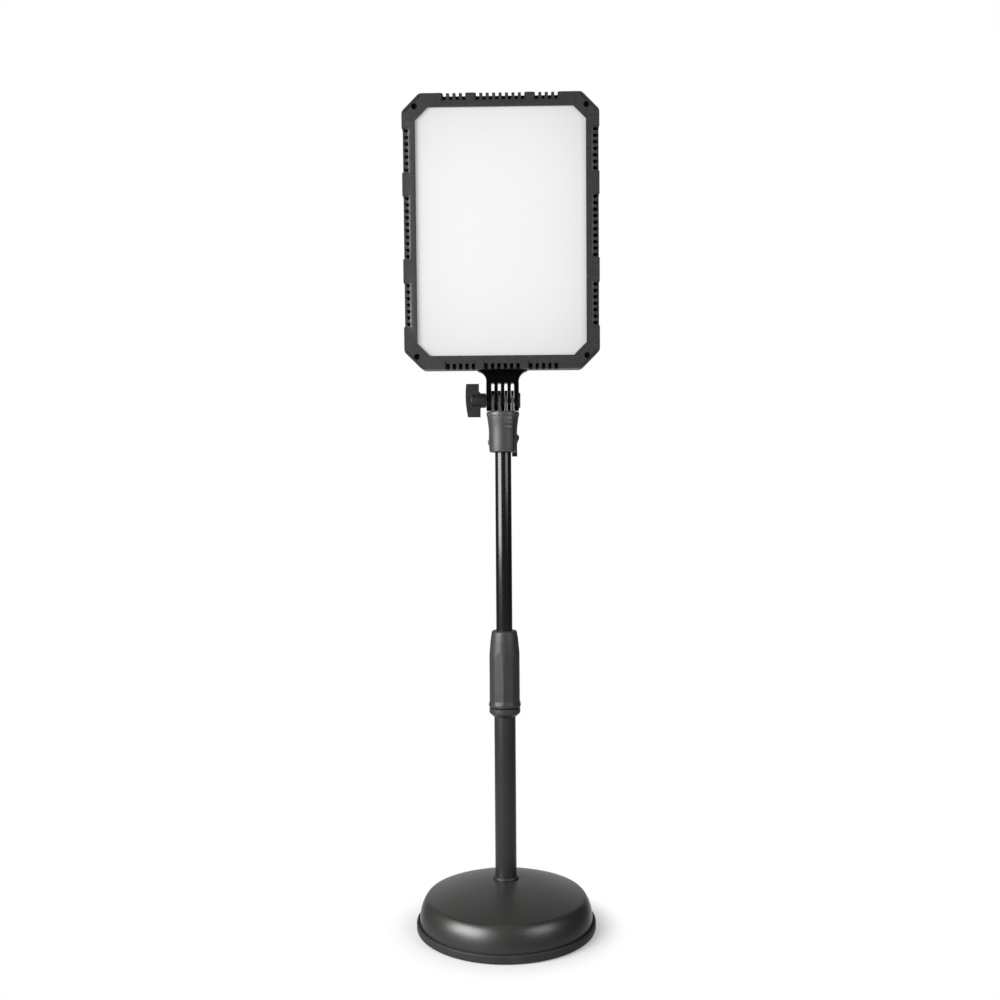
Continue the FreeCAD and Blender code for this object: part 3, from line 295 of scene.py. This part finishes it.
def opal_acrylic():
    """Satin opal sheet with a frosted skin, glowing most evenly off its edges; the glow's dimming towards its
    edges is painted shade of the bezel's lip.
    """
    f = Finish("opal_acrylic")
    low, high = (Vector(c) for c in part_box("diffuser_panel"))
    middle, half = (low + high) / 2, (high - low) / 2
    out = f.node("VectorMath", {"operation": "SUBTRACT"}, {0: f.place, 1: tuple(middle)})
    out = f.node("VectorMath", {"operation": "ABSOLUTE"}, {0: out})
    sideways, upright = out.part("X") / half.x, out.part("Z") / half.z
    # Painted shade: the glow dims towards the sheet's edges, and more steeply at its rim, for the shade of
    # the bezel's lip.
    rim = sideways.step(0.86, 0.95) + upright.step(0.91, 0.98)
    painted_edge_shade = (sideways ** 3 + upright ** 3) * 0.62 + rim * 0.3
    frost = f.cloud(0.35 * MM, 2.0, seed=4.8)
    haze = f.cloud(70 * MM, 2.0, seed=2.9)
    tone = f.blend(haze, grey(0.305), grey(0.32))
    tone = f.blend(frost * 0.3, tone, grey(0.34))
    glow = f.blend(painted_edge_shade.at_most(1.0), grey(1.0), grey(0.60))
    normal = f.bumped(frost, 0.004 * MM, 0.4)
    return f.surface(Base_Color=tone, Roughness=0.5 + frost * 0.1, Normal=normal, Emission_Color=glow,
                     Emission_Strength=0.468)


def clear_acrylic():
    f = Finish("clear_acrylic")
    dots = 1 - f.cells(2.0 * MM, seed=3.0).step(0.12, 0.2)
    tone = f.blend(dots, (0.93, 0.95, 0.95), (0.99, 0.99, 0.99))
    return f.surface(Base_Color=tone, Roughness=0.06 + dots * 0.5, IOR=1.49, Transmission_Weight=0.9)


def white_film():
    f = Finish("white_film")
    fibre = f.cloud(1.4 * MM, 4.0, (1.0, 1.0, 0.2), seed=7.0)
    tone = f.blend(fibre, (0.86, 0.87, 0.88), (0.93, 0.93, 0.93))
    return f.surface(Base_Color=tone, Roughness=0.3 + fibre * 0.15, Normal=f.bumped(fibre, 0.01 * MM))


def circuit_board(name, mask, glass):
    """Solder mask over woven glass, with copper tracks showing as a darker, raised net."""
    f = Finish(name)
    weave = f.node("TexWave", {"wave_profile": "SIN"}, {"Vector": f.place, "Scale": 320.0, "Distortion": 1.5})
    tracks = f.cells(3.4 * MM, seed=2.0).step(0.32, 0.36)
    tone = f.blend(weave * 0.4, mask, glass)
    tone = f.blend(tracks * 0.35, tone, lighter(mask, 1.6))
    normal = f.bumped(tracks, 0.035 * MM, 0.7)
    return f.surface(Base_Color=tone, Roughness=0.32 + weave * 0.08, Normal=normal, Coat_Weight=0.3)


def led_phosphor():
    f = Finish("led_phosphor")
    grains = f.cells(0.25 * MM, seed=1.0)
    tone = f.blend(grains, (0.93, 0.80, 0.25), (0.86, 0.66, 0.14))
    return f.surface(Base_Color=tone, Roughness=0.45 + grains * 0.2, Normal=f.bumped(grains, 0.02 * MM),
                     Emission_Color=tone, Emission_Strength=0.15)


def ferrite():
    f = Finish("ferrite")
    grains = f.cloud(0.6 * MM, 4.0, seed=2.0)
    tone = f.blend(grains, grey(0.05), grey(0.085))
    return f.surface(Base_Color=tone, Roughness=0.62 + grains * 0.15, Normal=f.bumped(grains, 0.05 * MM),
                     Metallic=0.2)


def capacitor_sleeve():
    f = Finish("capacitor_sleeve")
    shrink = f.cloud(2.4 * MM, 2.0, seed=2.0)
    tone = f.blend(shrink, (0.012, 0.014, 0.020), (0.030, 0.032, 0.042))
    return f.surface(Base_Color=tone, Roughness=0.22 + shrink * 0.12, Normal=f.bumped(shrink, 0.03 * MM),
                     Coat_Weight=0.25)


def display_glass():
    """Smoked window with a faint oil film."""
    f = Finish("display_glass")
    film = f.cloud(7 * MM, 4.0, seed=4.0)
    tone = f.blend(film, (0.006, 0.007, 0.009), (0.012, 0.013, 0.016))
    return f.surface(Base_Color=tone, Roughness=0.05 + film.step(0.45, 0.8) * 0.14, Coat_Weight=1.0,
                     Coat_Roughness=0.03)


def painted_mark(name, colour):
    """Pad-printed white marks, slightly thin at their edges."""
    f = Finish(name)
    ink = f.cloud(0.5 * MM, 3.0, seed=3.0)
    return f.surface(Base_Color=f.blend(ink, lighter(colour, 0.86), colour), Roughness=0.5 + ink * 0.15,
                     Normal=f.bumped(ink, 0.01 * MM))


def display_glow():
    """Lit bars of a display, a little uneven across each bar."""
    f = Finish("display_glow")
    spread = f.cloud(1.2 * MM, 2.0, seed=5.0)
    tone = f.blend(spread, (0.30, 0.62, 0.80), (0.48, 0.80, 0.95))
    return f.surface(Base_Color=tone, Roughness=0.25 + spread * 0.1, Emission_Color=tone,
                     Emission_Strength=0.45)


FINISHES = {
    "satin_cover": painted_metal("satin_cover", (0.0300, 0.0310, 0.0287), 0.36, peel=0.012, coat=0.5,
                                 coat_roughness=0.34, speck=0.2),
    "matte_tube": painted_metal("matte_tube", grey(0.026), 0.31, peel=0.010, speck=0.3),
    "gloss_tube": painted_metal("gloss_tube", grey(0.008), 0.22, peel=0.0006, coat=0.20,
                                coat_roughness=0.08, speck=0.1, grit=0.0002),
    "foot_rubber": foot_rubber(),
    "zinc_plate": worked_metal("zinc_plate", (0.62, 0.63, 0.66), 0.34, (1.0, 0.06, 1.0), 0.16),
    "steel_fastener": worked_metal("steel_fastener", (0.60, 0.60, 0.61), 0.28),
    "black_fastener": worked_metal("black_fastener", grey(0.045), 0.40),
    "sheet_aluminium": worked_metal("sheet_aluminium", (0.80, 0.80, 0.82), 0.32, (1.0, 1.0, 0.04), 0.06),
    "cast_weight": cast_weight(),
    "grip_plastic": moulded_plastic("grip_plastic", grey(0.036), 0.45, grain=0.5, depth=0.010, mottle=0.08),
    "collar_plastic": moulded_plastic("collar_plastic", grey(0.042), 0.44, grain=0.5, depth=0.008,
                                      mottle=0.08),
    # Near-black tone: partly the plastic's own black, partly painted shade, darker than the lights alone make
    # the bracket under the head.
    "bracket_plastic": moulded_plastic("bracket_plastic", grey(0.0012), 0.28, grain=0.4, depth=0.002,
                                       specular=0.15),
    "knob_plastic": moulded_plastic("knob_plastic", grey(0.0075), 0.47, grain=0.55, depth=0.012),
    "bezel_plastic": moulded_plastic("bezel_plastic", grey(0.0185), 0.50, grain=0.6, depth=0.014, mottle=0.10,
                                     specular=0.4),
    "housing_plastic": moulded_plastic("housing_plastic", grey(0.022), 0.50, grain=0.6, depth=0.012,
                                       mottle=0.05),
    "dial_plastic": moulded_plastic("dial_plastic", grey(0.018), 0.45, grain=0.4),
    "switch_plastic": moulded_plastic("switch_plastic", grey(0.014), 0.32, grain=0.35, depth=0.006),
    "acetal": acetal(),
    "opal_acrylic": opal_acrylic(),
    "clear_acrylic": clear_acrylic(),
    "white_film": white_film(),
    "white_board": circuit_board("white_board", (0.80, 0.80, 0.78), (0.88, 0.88, 0.86)),
    "green_board": circuit_board("green_board", (0.010, 0.075, 0.030), (0.030, 0.130, 0.060)),
    "led_phosphor": led_phosphor(),
    "ferrite": ferrite(),
    "capacitor_sleeve": capacitor_sleeve(),
    "display_glass": display_glass(),
}
MARK = painted_mark("white_mark", grey(0.62))


def node_slot(node):
    """The record's material slot of a CAD node."""
    return frame["nodes"][node].data.materials[0].name


def finish_nodes():
    """Give every CAD node the finish of its material slot."""
    for node in frame["nodes"].values():
        node.data.materials[0] = FINISHES[node.data.materials[0].name]


SLOTS = {name: node_slot(name) for name in frame["nodes"]}
finish_nodes()


# ------------------------------------------------------------------ mesh helpers

def body_of(node):
    return frame["nodes"][node]["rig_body"]


def finished(name, mesh, stands_for, finish=None, sharp=38.0):
    """Turn a mesh into a piece that stands for a CAD node and rides where it does."""
    mesh.materials.clear()
    mesh.materials.append(finish or FINISHES[SLOTS[stands_for]])
    mesh.shade_smooth()
    mesh.set_sharp_from_angle(angle=math.radians(sharp))
    piece = bpy.data.objects.new(name, mesh)
    bpy.context.scene.collection.objects.link(piece)
    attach(piece, body_of(stands_for))
    return piece


def softened(outline, radius, steps=4):
    """Round every corner of a closed outline with an arc, smaller where an edge is short."""
    rounded = []
    for i, corner in enumerate(outline):
        p = Vector(corner)
        to_last = Vector(outline[i - 1]) - p
        to_next = Vector(outline[(i + 1) % len(outline)]) - p
        turn = math.pi - to_last.angle(to_next)
        if turn < math.radians(12):
            rounded.append(tuple(p))
            continue
        reach = min(radius * math.tan(turn / 2), 0.45 * to_last.length, 0.45 * to_next.length)
        start, end = p + to_last.normalized() * reach, p + to_next.normalized() * reach
        for k in range(steps + 1):
            t = k / steps
            rounded.append(tuple(start.lerp(p, t).lerp(p.lerp(end, t), t)))
    return rounded


def turned(name, node, outline, around=AROUND, radius_at=None, sharp=38.0, extra=None):
    """Turn a closed outline of (radius, height) in millimetres about the mast.
    radius_at(radius, height, angle) may shape the section. A piece given its own finish in
    extra lies beside the CAD node instead of replacing it."""
    bm = bmesh.new()
    rings = []
    for r, z in outline:
        ring = []
        for k in range(around):
            a = 2 * math.pi * k / around
            r_here = radius_at(r, z, a) if radius_at else r
            ring.append(bm.verts.new((r_here * MM * math.cos(a), r_here * MM * math.sin(a), z * MM)))
        rings.append(ring)
    for i in range(len(rings)):
        low, high = rings[i - 1], rings[i]
        for k in range(around):
            nxt = (k + 1) % around
            bm.faces.new((low[k], low[nxt], high[nxt], high[k]))
    bmesh.ops.recalc_face_normals(bm, faces=bm.faces)
    mesh = bpy.data.meshes.new(name)
    bm.to_mesh(mesh)
    bm.free()
    piece = finished(name, mesh, node, extra, sharp)
    if extra is None:
        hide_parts(node)
    return piece


def moulded(name, node, width=0.3, segments=2, angle=24.0, finish=None):
    """Copy of a CAD node with its hard edges rounded and marked for wear."""
    bm = bmesh.new()
    bm.from_mesh(frame["nodes"][node].data)
    bmesh.ops.remove_doubles(bm, verts=bm.verts, dist=2e-6)
    bmesh.ops.dissolve_limit(bm, angle_limit=math.radians(0.6), verts=bm.verts, edges=bm.edges)
    hard = [e for e in bm.edges if e.is_manifold and e.calc_face_angle(0.0) > math.radians(angle)]
    worn = bm.verts.layers.float.new("edge_wear")
    result = bmesh.ops.bevel(bm, geom=hard, offset=width * MM, segments=segments, profile=0.5,
                             affect="EDGES", clamp_overlap=True, loop_slide=True)
    for v in result["verts"]:
        v[worn] = 1.0
    mesh = bpy.data.meshes.new(name)
    bmesh.ops.triangulate(bm, faces=[f for f in bm.faces if len(f.verts) > 4])
    bm.to_mesh(mesh)
    bm.free()
    piece = finished(name, mesh, node, finish, 50.0)
    even = piece.modifiers.new("even_shading", "WEIGHTED_NORMAL")
    even.keep_sharp = True
    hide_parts(node)
    return piece


# ------------------------------------------------------------------ base and mast

def dome(inset):
    """Crown and shoulder of the cover, moved in by a wall thickness."""
    points = []
    for i in range(25):
        t = i / 24
        points.append(((1 - t) ** 2 * CROWN_R + 2 * t * (1 - t) * CROWN_MID_R + t * t * SHOULDER_R,
                       (1 - t) ** 2 * CROWN_Z + 2 * t * (1 - t) * CROWN_MID_Z + t * t * SHOULDER_Z))
    drop, reach = SHOULDER_Z - FOOT_H, COVER_R - SHOULDER_R
    for i in range(1, 33):
        a = math.radians(22 + 68 * i / 32)
        points.append((SHOULDER_R - 1 + (reach + 1) * math.sin(a) ** (2 / 1.9),
                       FOOT_H + drop * 1.04 * math.cos(a) ** (2 / 1.9)))
    return [(r - inset * r / COVER_R, z - inset) for r, z in points]


def base_cover():
    bore, low = LOWER_R + 0.1, LEDGE_Z + 0.1
    outer = [(bore, CROWN_Z + 0.1)] + dome(0)
    inner = [(bore, CROWN_Z + 0.1 - COVER_WALL)] + dome(COVER_WALL)[1:]
    rim = [(COVER_R, low + 0.7), (COVER_R - 0.5, low), (COVER_R - COVER_WALL, low)]
    turned("base_cover_shell", "base_cover", outer + rim + inner[::-1], 256)


def base_foot_ring():
    """Rubber ring with a rolled lip, a fine waist line and a rounded foot."""
    step = COVER_R + 0.6
    outline = [(FOOT_INNER_R, 0), (FOOT_R - 1.6, 0), (FOOT_R - 0.5, 0.9), (FOOT_R, 2.2),
               (FOOT_R, FOOT_H - 0.9), (FOOT_R - 0.9, FOOT_H), (step, FOOT_H), (step, LEDGE_Z),
               (FOOT_INNER_R, LEDGE_Z)]
    turned("foot_ring", "base_foot_ring", softened(outline, 0.8, 5), 256)


def tubes():
    lower = [(LOWER_R - LOWER_WALL, LOWER_BOTTOM_Z), (LOWER_R, LOWER_BOTTOM_Z), (LOWER_R, LOWER_TOP_Z),
             (LOWER_R - LOWER_WALL, LOWER_TOP_Z)]
    upper = [(UPPER_R - UPPER_WALL, UPPER_BOTTOM_Z), (UPPER_R, UPPER_BOTTOM_Z), (UPPER_R, UPPER_TOP_Z),
             (UPPER_R - UPPER_WALL, UPPER_TOP_Z)]
    turned("lower_mast_tube", "lower_tube", softened(lower, 0.35))
    turned("upper_mast_tube", "upper_tube", softened(upper, 0.3))


def flange_ring():
    low = CROWN_Z + 0.1
    outline = [(LOWER_R, low), (FLANGE_R, low), (FLANGE_R, low + 1.5), (FLANGE_R - 0.9, low + FLANGE_H),
               (LOWER_R, low + FLANGE_H)]
    turned("mast_flange_ring", "tube_flange_ring", softened(outline, 0.35))


def clutch_body():
    low, step, rim, seat = CLUTCH_BOTTOM_Z, CLUTCH_RING_TOP_Z, CLUTCH_RING_R, UPPER_R + 2.2
    outline = [(LOWER_R, low), (LOWER_R + 1.4, low), (rim - 0.6, low + 2.6), (rim, low + 3.6),
               (rim, step - 0.8), (rim - 0.8, step), (NECK_R, step), (NECK_R, NECK_TOP_Z),
               (seat + 0.9, NECK_TOP_Z), (seat, NECK_TOP_Z - 4), (seat, LOWER_TOP_Z), (LOWER_R, LOWER_TOP_Z)]
    turned("clutch_lower_ring", "clutch_body", softened(outline, 0.45))


def grip_section(r, z, angle):
    """Ten flats with eased corners between the lip and the nose; round above and below them."""
    if r < NECK_R + 0.5:
        return r
    sector = 2 * math.pi / GRIP_FLATS
    off = (angle + math.radians(3.0) + sector / 2) % sector - sector / 2
    flat = GRIP_FLAT_R / math.cos(off)
    eased = GRIP_R - 0.12 * math.log(1 + math.exp((GRIP_R - flat) / 0.12))
    above_lip = min(1.0, max(0.0, (z - CLUTCH_RING_TOP_Z - 3.6) / 3.5))
    flat_here = GRIP_LIP_R + (eased - GRIP_LIP_R) * above_lip
    return min(r, flat_here)


def clutch_grip():
    """Twist sleeve, sampled finely up its height so that the flats end in curved tops."""
    low, top = CLUTCH_RING_TOP_Z + 0.9, CLUTCH_TOP_Z
    bore, mouth = NECK_R + 0.3, UPPER_R + 0.4
    outside = [(GRIP_LIP_R - 0.6, low), (GRIP_LIP_R, low + 0.8), (GRIP_LIP_R, low + 2.4),
               (GRIP_R + 0.2, low + 5.5), (GRIP_R, low + 12), (GRIP_R - 0.3, top - 25),
               (GRIP_R - 0.8, top - 20), (GRIP_R - 1.8, top - 9), (GRIP_NOSE_R, top - 1.2),
               (GRIP_NOSE_R - 0.9, top)]
    fine = []
    for (r0, z0), (r1, z1) in zip(outside, outside[1:]):
        steps = max(1, round((z1 - z0) / 0.8))
        fine += [(r0 + (r1 - r0) * i / steps, z0 + (z1 - z0) * i / steps) for i in range(steps)]
    fine.append(outside[-1])
    inside = [(mouth, top), (mouth, COLLET_TOP_Z + 1.5), (UPPER_R + 1.5, COLLET_TOP_Z),
              (UPPER_R + 3.6, NECK_TOP_Z + 10), (bore - 1.4, NECK_TOP_Z + 3), (bore, NECK_TOP_Z + 1),
              (bore, low)]
    turned("clutch_twist_sleeve", "clutch_grip", fine + inside, 320, grip_section, 60.0)


base_cover()
base_foot_ring()
tubes()
flange_ring()
clutch_body()
clutch_grip()

# ------------------------------------------------------------------ collar, hinge and head

moulded("clamp_lever_moulding", "clamp_lever", 0.5, finish=FINISHES["knob_plastic"])
for piece_name, node_name, edge in (
        ("collar_moulding", "socket_collar", 0.4),
        ("hinge_bracket_moulding", "tilt_bracket", 0.4), ("tilt_knob_moulding", "tilt_knob", 0.8),
        ("nut_cap", "tilt_nut_cap", 0.25), ("bezel_moulding", "front_bezel", 0.35),
        ("housing_moulding", "rear_housing", 0.5), ("brightness_knob", "brightness_dial", 0.2),
        ("colour_knob", "colour_dial", 0.2), ("switch_rocker", "power_rocker", 0.5),
        ("switch_frame", "switch_body", 0.3), ("display_lens", "display_window", 0.2),
        ("diffuser_sheet", "diffuser_panel", 0.2)):
    moulded(piece_name, node_name, edge)


def hinge_gap_shade_disc():
    """Thin dark disc on the collar's top face, just clear of the bracket's fingers: a dark sheet put in the
    hinge gap as painted shade.
    """
    outline = [(0.0, COLLAR_TOP_Z), (SHADE_DISC_R, COLLAR_TOP_Z), (SHADE_DISC_R, COLLAR_TOP_Z + SHADE_DISC_T),
               (0.0, COLLAR_TOP_Z + SHADE_DISC_T)]
    turned("hinge_gap_shade_disc", "socket_collar", outline, extra=FINISHES["knob_plastic"])


hinge_gap_shade_disc()


# ------------------------------------------------------------------ printed marks on the back

def on_back(x, z, lift):
    """A place on the head's back face, lift millimetres out from it."""
    y, up = BACK_Y + lift, HEAD_MID + z
    return Vector((x, y * math.cos(LEAN) - up * math.sin(LEAN),
                   PIVOT_Z + y * math.sin(LEAN) + up * math.cos(LEAN))) * MM


def printed(name, shapes, node="rear_housing", finish=MARK, sunk=0.0):
    """Thin raised ink shapes, each an outline of (x, z) in millimetres about the head's middle."""
    bm = bmesh.new()
    for outline in shapes:
        low = [bm.verts.new(on_back(x, z, INK_CLEAR - sunk)) for x, z in outline]
        high = [bm.verts.new(on_back(x, z, INK_T - sunk)) for x, z in outline]
        bm.faces.new(low[::-1])
        bm.faces.new(high)
        for i in range(len(outline)):
            bm.faces.new((low[i - 1], low[i], high[i], high[i - 1]))
    bmesh.ops.recalc_face_normals(bm, faces=bm.faces)
    mesh = bpy.data.meshes.new(name)
    bm.to_mesh(mesh)
    bm.free()
    return finished(name, mesh, node, finish)


def stroke(x0, z0, x1, z1, width):
    """A straight mark between two points."""
    along = Vector((x1 - x0, z1 - z0)).normalized()
    side = Vector((-along.y, along.x)) * width / 2
    return [(x0 + side.x, z0 + side.y), (x0 - side.x, z0 - side.y), (x1 - side.x, z1 - side.y),
            (x1 + side.x, z1 + side.y)]


def arc_band(x, z, r_in, r_out, start, end, steps=20):
    """A curved mark about (x, z) between two angles in degrees."""
    turns = [math.radians(start + (end - start) * i / steps) for i in range(steps + 1)]
    outer = [(x + r_out * math.cos(a), z + r_out * math.sin(a)) for a in turns]
    inner = [(x + r_in * math.cos(a), z + r_in * math.sin(a)) for a in turns]
    return outer + inner[::-1]


def scale_marks(x):
    """Eleven ticks round a dial, the end ones longer."""
    ticks = []
    long_ticks = (0, DIAL_TICKS // 2, DIAL_TICKS - 1)
    near = DIAL_R + TICK_GAP
    for i in range(DIAL_TICKS):
        a = math.radians(225 - 270 * i / (DIAL_TICKS - 1))
        reach = DIAL_R + (END_TICK_END if i in long_ticks else TICK_END)
        ticks.append(stroke(x + near * math.cos(a), DIAL_Z + near * math.sin(a),
                            x + reach * math.cos(a), DIAL_Z + reach * math.sin(a), LINE))
    return ticks


def ring(x, z, r_in, r_out):
    """A whole ring, or a disc where r_in is 0, as two halves."""
    return [arc_band(x, z, r_in, r_out, 0, 180), arc_band(x, z, r_in, r_out, 180, 360)]


def sun_sign(x, z):
    """Disc with eight rays, for brightness."""
    rays = []
    for i in range(8):
        ray = Vector((math.cos(math.radians(45 * i)), math.sin(math.radians(45 * i))))
        rays.append(stroke(x + 1.7 * ray.x, z + 1.7 * ray.y, x + 2.7 * ray.x, z + 2.7 * ray.y, FINE_LINE))
    return rays + ring(x, z, 0.0, 1.15)


def half_sign(x, z):
    """Ring with one half filled, for the colour of the light."""
    return ring(x, z, 1.9, 2.4) + [arc_band(x, z, 0.0, 1.5, 90, 270)]


def switch_signs():
    """A stroke for on over a ring for off."""
    return [stroke(SWITCH_SIGN_X, SWITCH_Z + 3.4, SWITCH_SIGN_X, SWITCH_Z + 6.6, LINE),
            *ring(SWITCH_SIGN_X, SWITCH_Z - 5, 1.2, 1.7)]


def direct_current_sign():
    """A whole line over a broken one."""
    x, high, low = INLET_SIGN_X, SWITCH_Z + 1.2, SWITCH_Z - 0.4
    dashes = [stroke(x + 1.2 * i, low, x + 1.2 * i + 0.8, low, FINE_LINE + 0.1) for i in range(3)]
    return [stroke(x, high, x + 3.2, high, FINE_LINE + 0.1), *dashes]


def level_bars(z, count):
    """A row of bars on the display, the last of them standing for the level set."""
    pitch = DISPLAY_W * 0.8 / BARS
    middles = [(BARS - 1 - 2 * i) * pitch / 2 for i in range(count)]
    return [stroke(x, z - DISPLAY_H * 0.14, x, z + DISPLAY_H * 0.14, pitch * 0.62) for x in middles]


printed("display_bars", level_bars(DIAL_Z + DISPLAY_H * 0.22, 8) + level_bars(DIAL_Z - DISPLAY_H * 0.22, 6),
        "display_window", display_glow(), DISPLAY_SUNK)
for pointer_name, dial_name, dial_x in (("brightness_pointer", "brightness_dial", -DIAL_X),
                                        ("colour_pointer", "colour_dial", DIAL_X)):
    pointer = stroke(dial_x, DIAL_Z + POINTER_IN, dial_x, DIAL_Z + DIAL_R - POINTER_OUT, POINTER_LINE)
    printed(pointer_name, [pointer], dial_name, sunk=-POINTER_Y)
printed("brightness_scale", scale_marks(-DIAL_X) + sun_sign(-DIAL_X, DIAL_Z - SIGN_DROP))
printed("colour_scale", scale_marks(DIAL_X) + half_sign(DIAL_X, DIAL_Z - SIGN_DROP))
printed("switch_signs", switch_signs())
printed("inlet_sign", direct_current_sign())


# ------------------------------------------------------------------ camera, light and floor

def add_camera():
    data = bpy.data.cameras.new("view")
    data.sensor_width = 36.0
    data.lens = LENS
    camera = bpy.data.objects.new("view", data)
    bpy.context.scene.collection.objects.link(camera)
    out = Vector((math.sin(CAMERA_ORBIT), -math.cos(CAMERA_ORBIT), 0))
    side = Vector((math.cos(CAMERA_ORBIT), math.sin(CAMERA_ORBIT), 0))
    place = out * CAMERA_RANGE + side * CAMERA_SIDE + Vector((0, 0, CAMERA_HEIGHT))
    turn = (Matrix.Rotation(CAMERA_ORBIT, 4, "Z") @ Matrix.Rotation(math.radians(90), 4, "X")
            @ Matrix.Rotation(-CAMERA_ROLL, 4, "Z"))
    camera.matrix_world = Matrix.Translation(place) @ turn
    bpy.context.scene.camera = camera


def add_panel_light(name, place, target, width, height, power, tint=(1.0, 1.0, 1.0)):
    """A rectangular studio softbox aimed at a point."""
    data = bpy.data.lights.new(name, "AREA")
    data.shape = "RECTANGLE"
    data.size, data.size_y = width, height
    data.energy = power
    data.color = tint
    light = bpy.data.objects.new(name, data)
    light.location = place
    light.rotation_euler = (Vector(target) - Vector(place)).to_track_quat("-Z", "Y").to_euler()
    light.visible_camera = False
    bpy.context.scene.collection.objects.link(light)


def around(azimuth, distance, height):
    """A place round the stand, in degrees to the right of its front."""
    a = math.radians(azimuth)
    return math.sin(a) * distance, -math.cos(a) * distance, height


def add_lights():
    """Large key at the left front and a smaller, higher fill at the right front."""
    add_panel_light("key_softbox", around(-53, 1.5, 0.76), (0, 0, 0.60), 1.25, 0.88, 42.0)
    add_panel_light("fill_softbox", around(50, 1.5, 0.92), (0, 0, 0.55), 0.90, 0.75, 9.5)
    add_panel_light("top_softbox", (-0.1, -0.2, 2.1), (0, 0, 0.3), 0.8, 0.8, 2.0)


def white_surround():
    """Pure white to the camera; to the object, a dim room with a pale backdrop behind it."""
    w = Finish("white_surround", bpy.data.worlds.new("white_surround"))
    above = w.facing((0, 0, 1))
    level = (1.0001 - above * above) ** 0.5
    behind = (w.facing((0, 1, 0)) / level).step(BACKDROP_EDGE, 0.97)
    room = ROOM * (1 - above.step(0.3, 0.8)) + behind * (1 - above.step(0.78, 0.93)) * BACKDROP
    room = room + w.facing((0, 0, -1)).step(0.08, 0.4) * BOUNCE
    unlit = w.node("Background", None, {"Strength": 0.0})
    white = w.node("Background", None, {"Color": (1.0, 1.0, 1.0, 1.0), "Strength": 1.0})
    seen = w.node("LightPath", output="Is Camera Ray")
    lit = w.node("MixShader", None, {0: room, 1: unlit, 2: white})
    bpy.context.scene.world = w.ends(w.node("MixShader", None, {0: seen, 1: lit, 2: white}), "OutputWorld")


def floor_finish():
    """Matte white under the base, fading close round it into plain white."""
    f = Finish("studio_floor")
    away = f.node("VectorMath", {"operation": "LENGTH"}, {0: f.place}, "Value").step(0.070, 0.125)
    tone = f.blend(f.cloud(3 * MM, 2.0), grey(0.93), grey(0.95))
    paper = f.node("BsdfPrincipled", None, {"Base Color": tone, "Roughness": 1.0, "Specular IOR Level": 0.0})
    glow = f.node("Emission", None, {"Color": (1.0, 1.0, 1.0, 1.0), "Strength": 1.0})
    return f.ends(f.node("MixShader", None, {0: away, 1: paper, 2: glow}))


def add_floor():
    bm = bmesh.new()
    bmesh.ops.create_circle(bm, cap_ends=True, segments=96, radius=8.0)
    mesh = bpy.data.meshes.new("studio_floor")
    bm.to_mesh(mesh)
    bm.free()
    mesh.materials.append(floor_finish())
    floor = bpy.data.objects.new("studio_floor", mesh)
    floor.location = (0, 0, -0.0004)
    bpy.context.scene.collection.objects.link(floor)
    floor.visible_diffuse = False
    floor.visible_glossy = False


add_camera()
add_lights()
white_surround()
add_floor()
bpy.context.scene.view_settings.view_transform = "Standard"
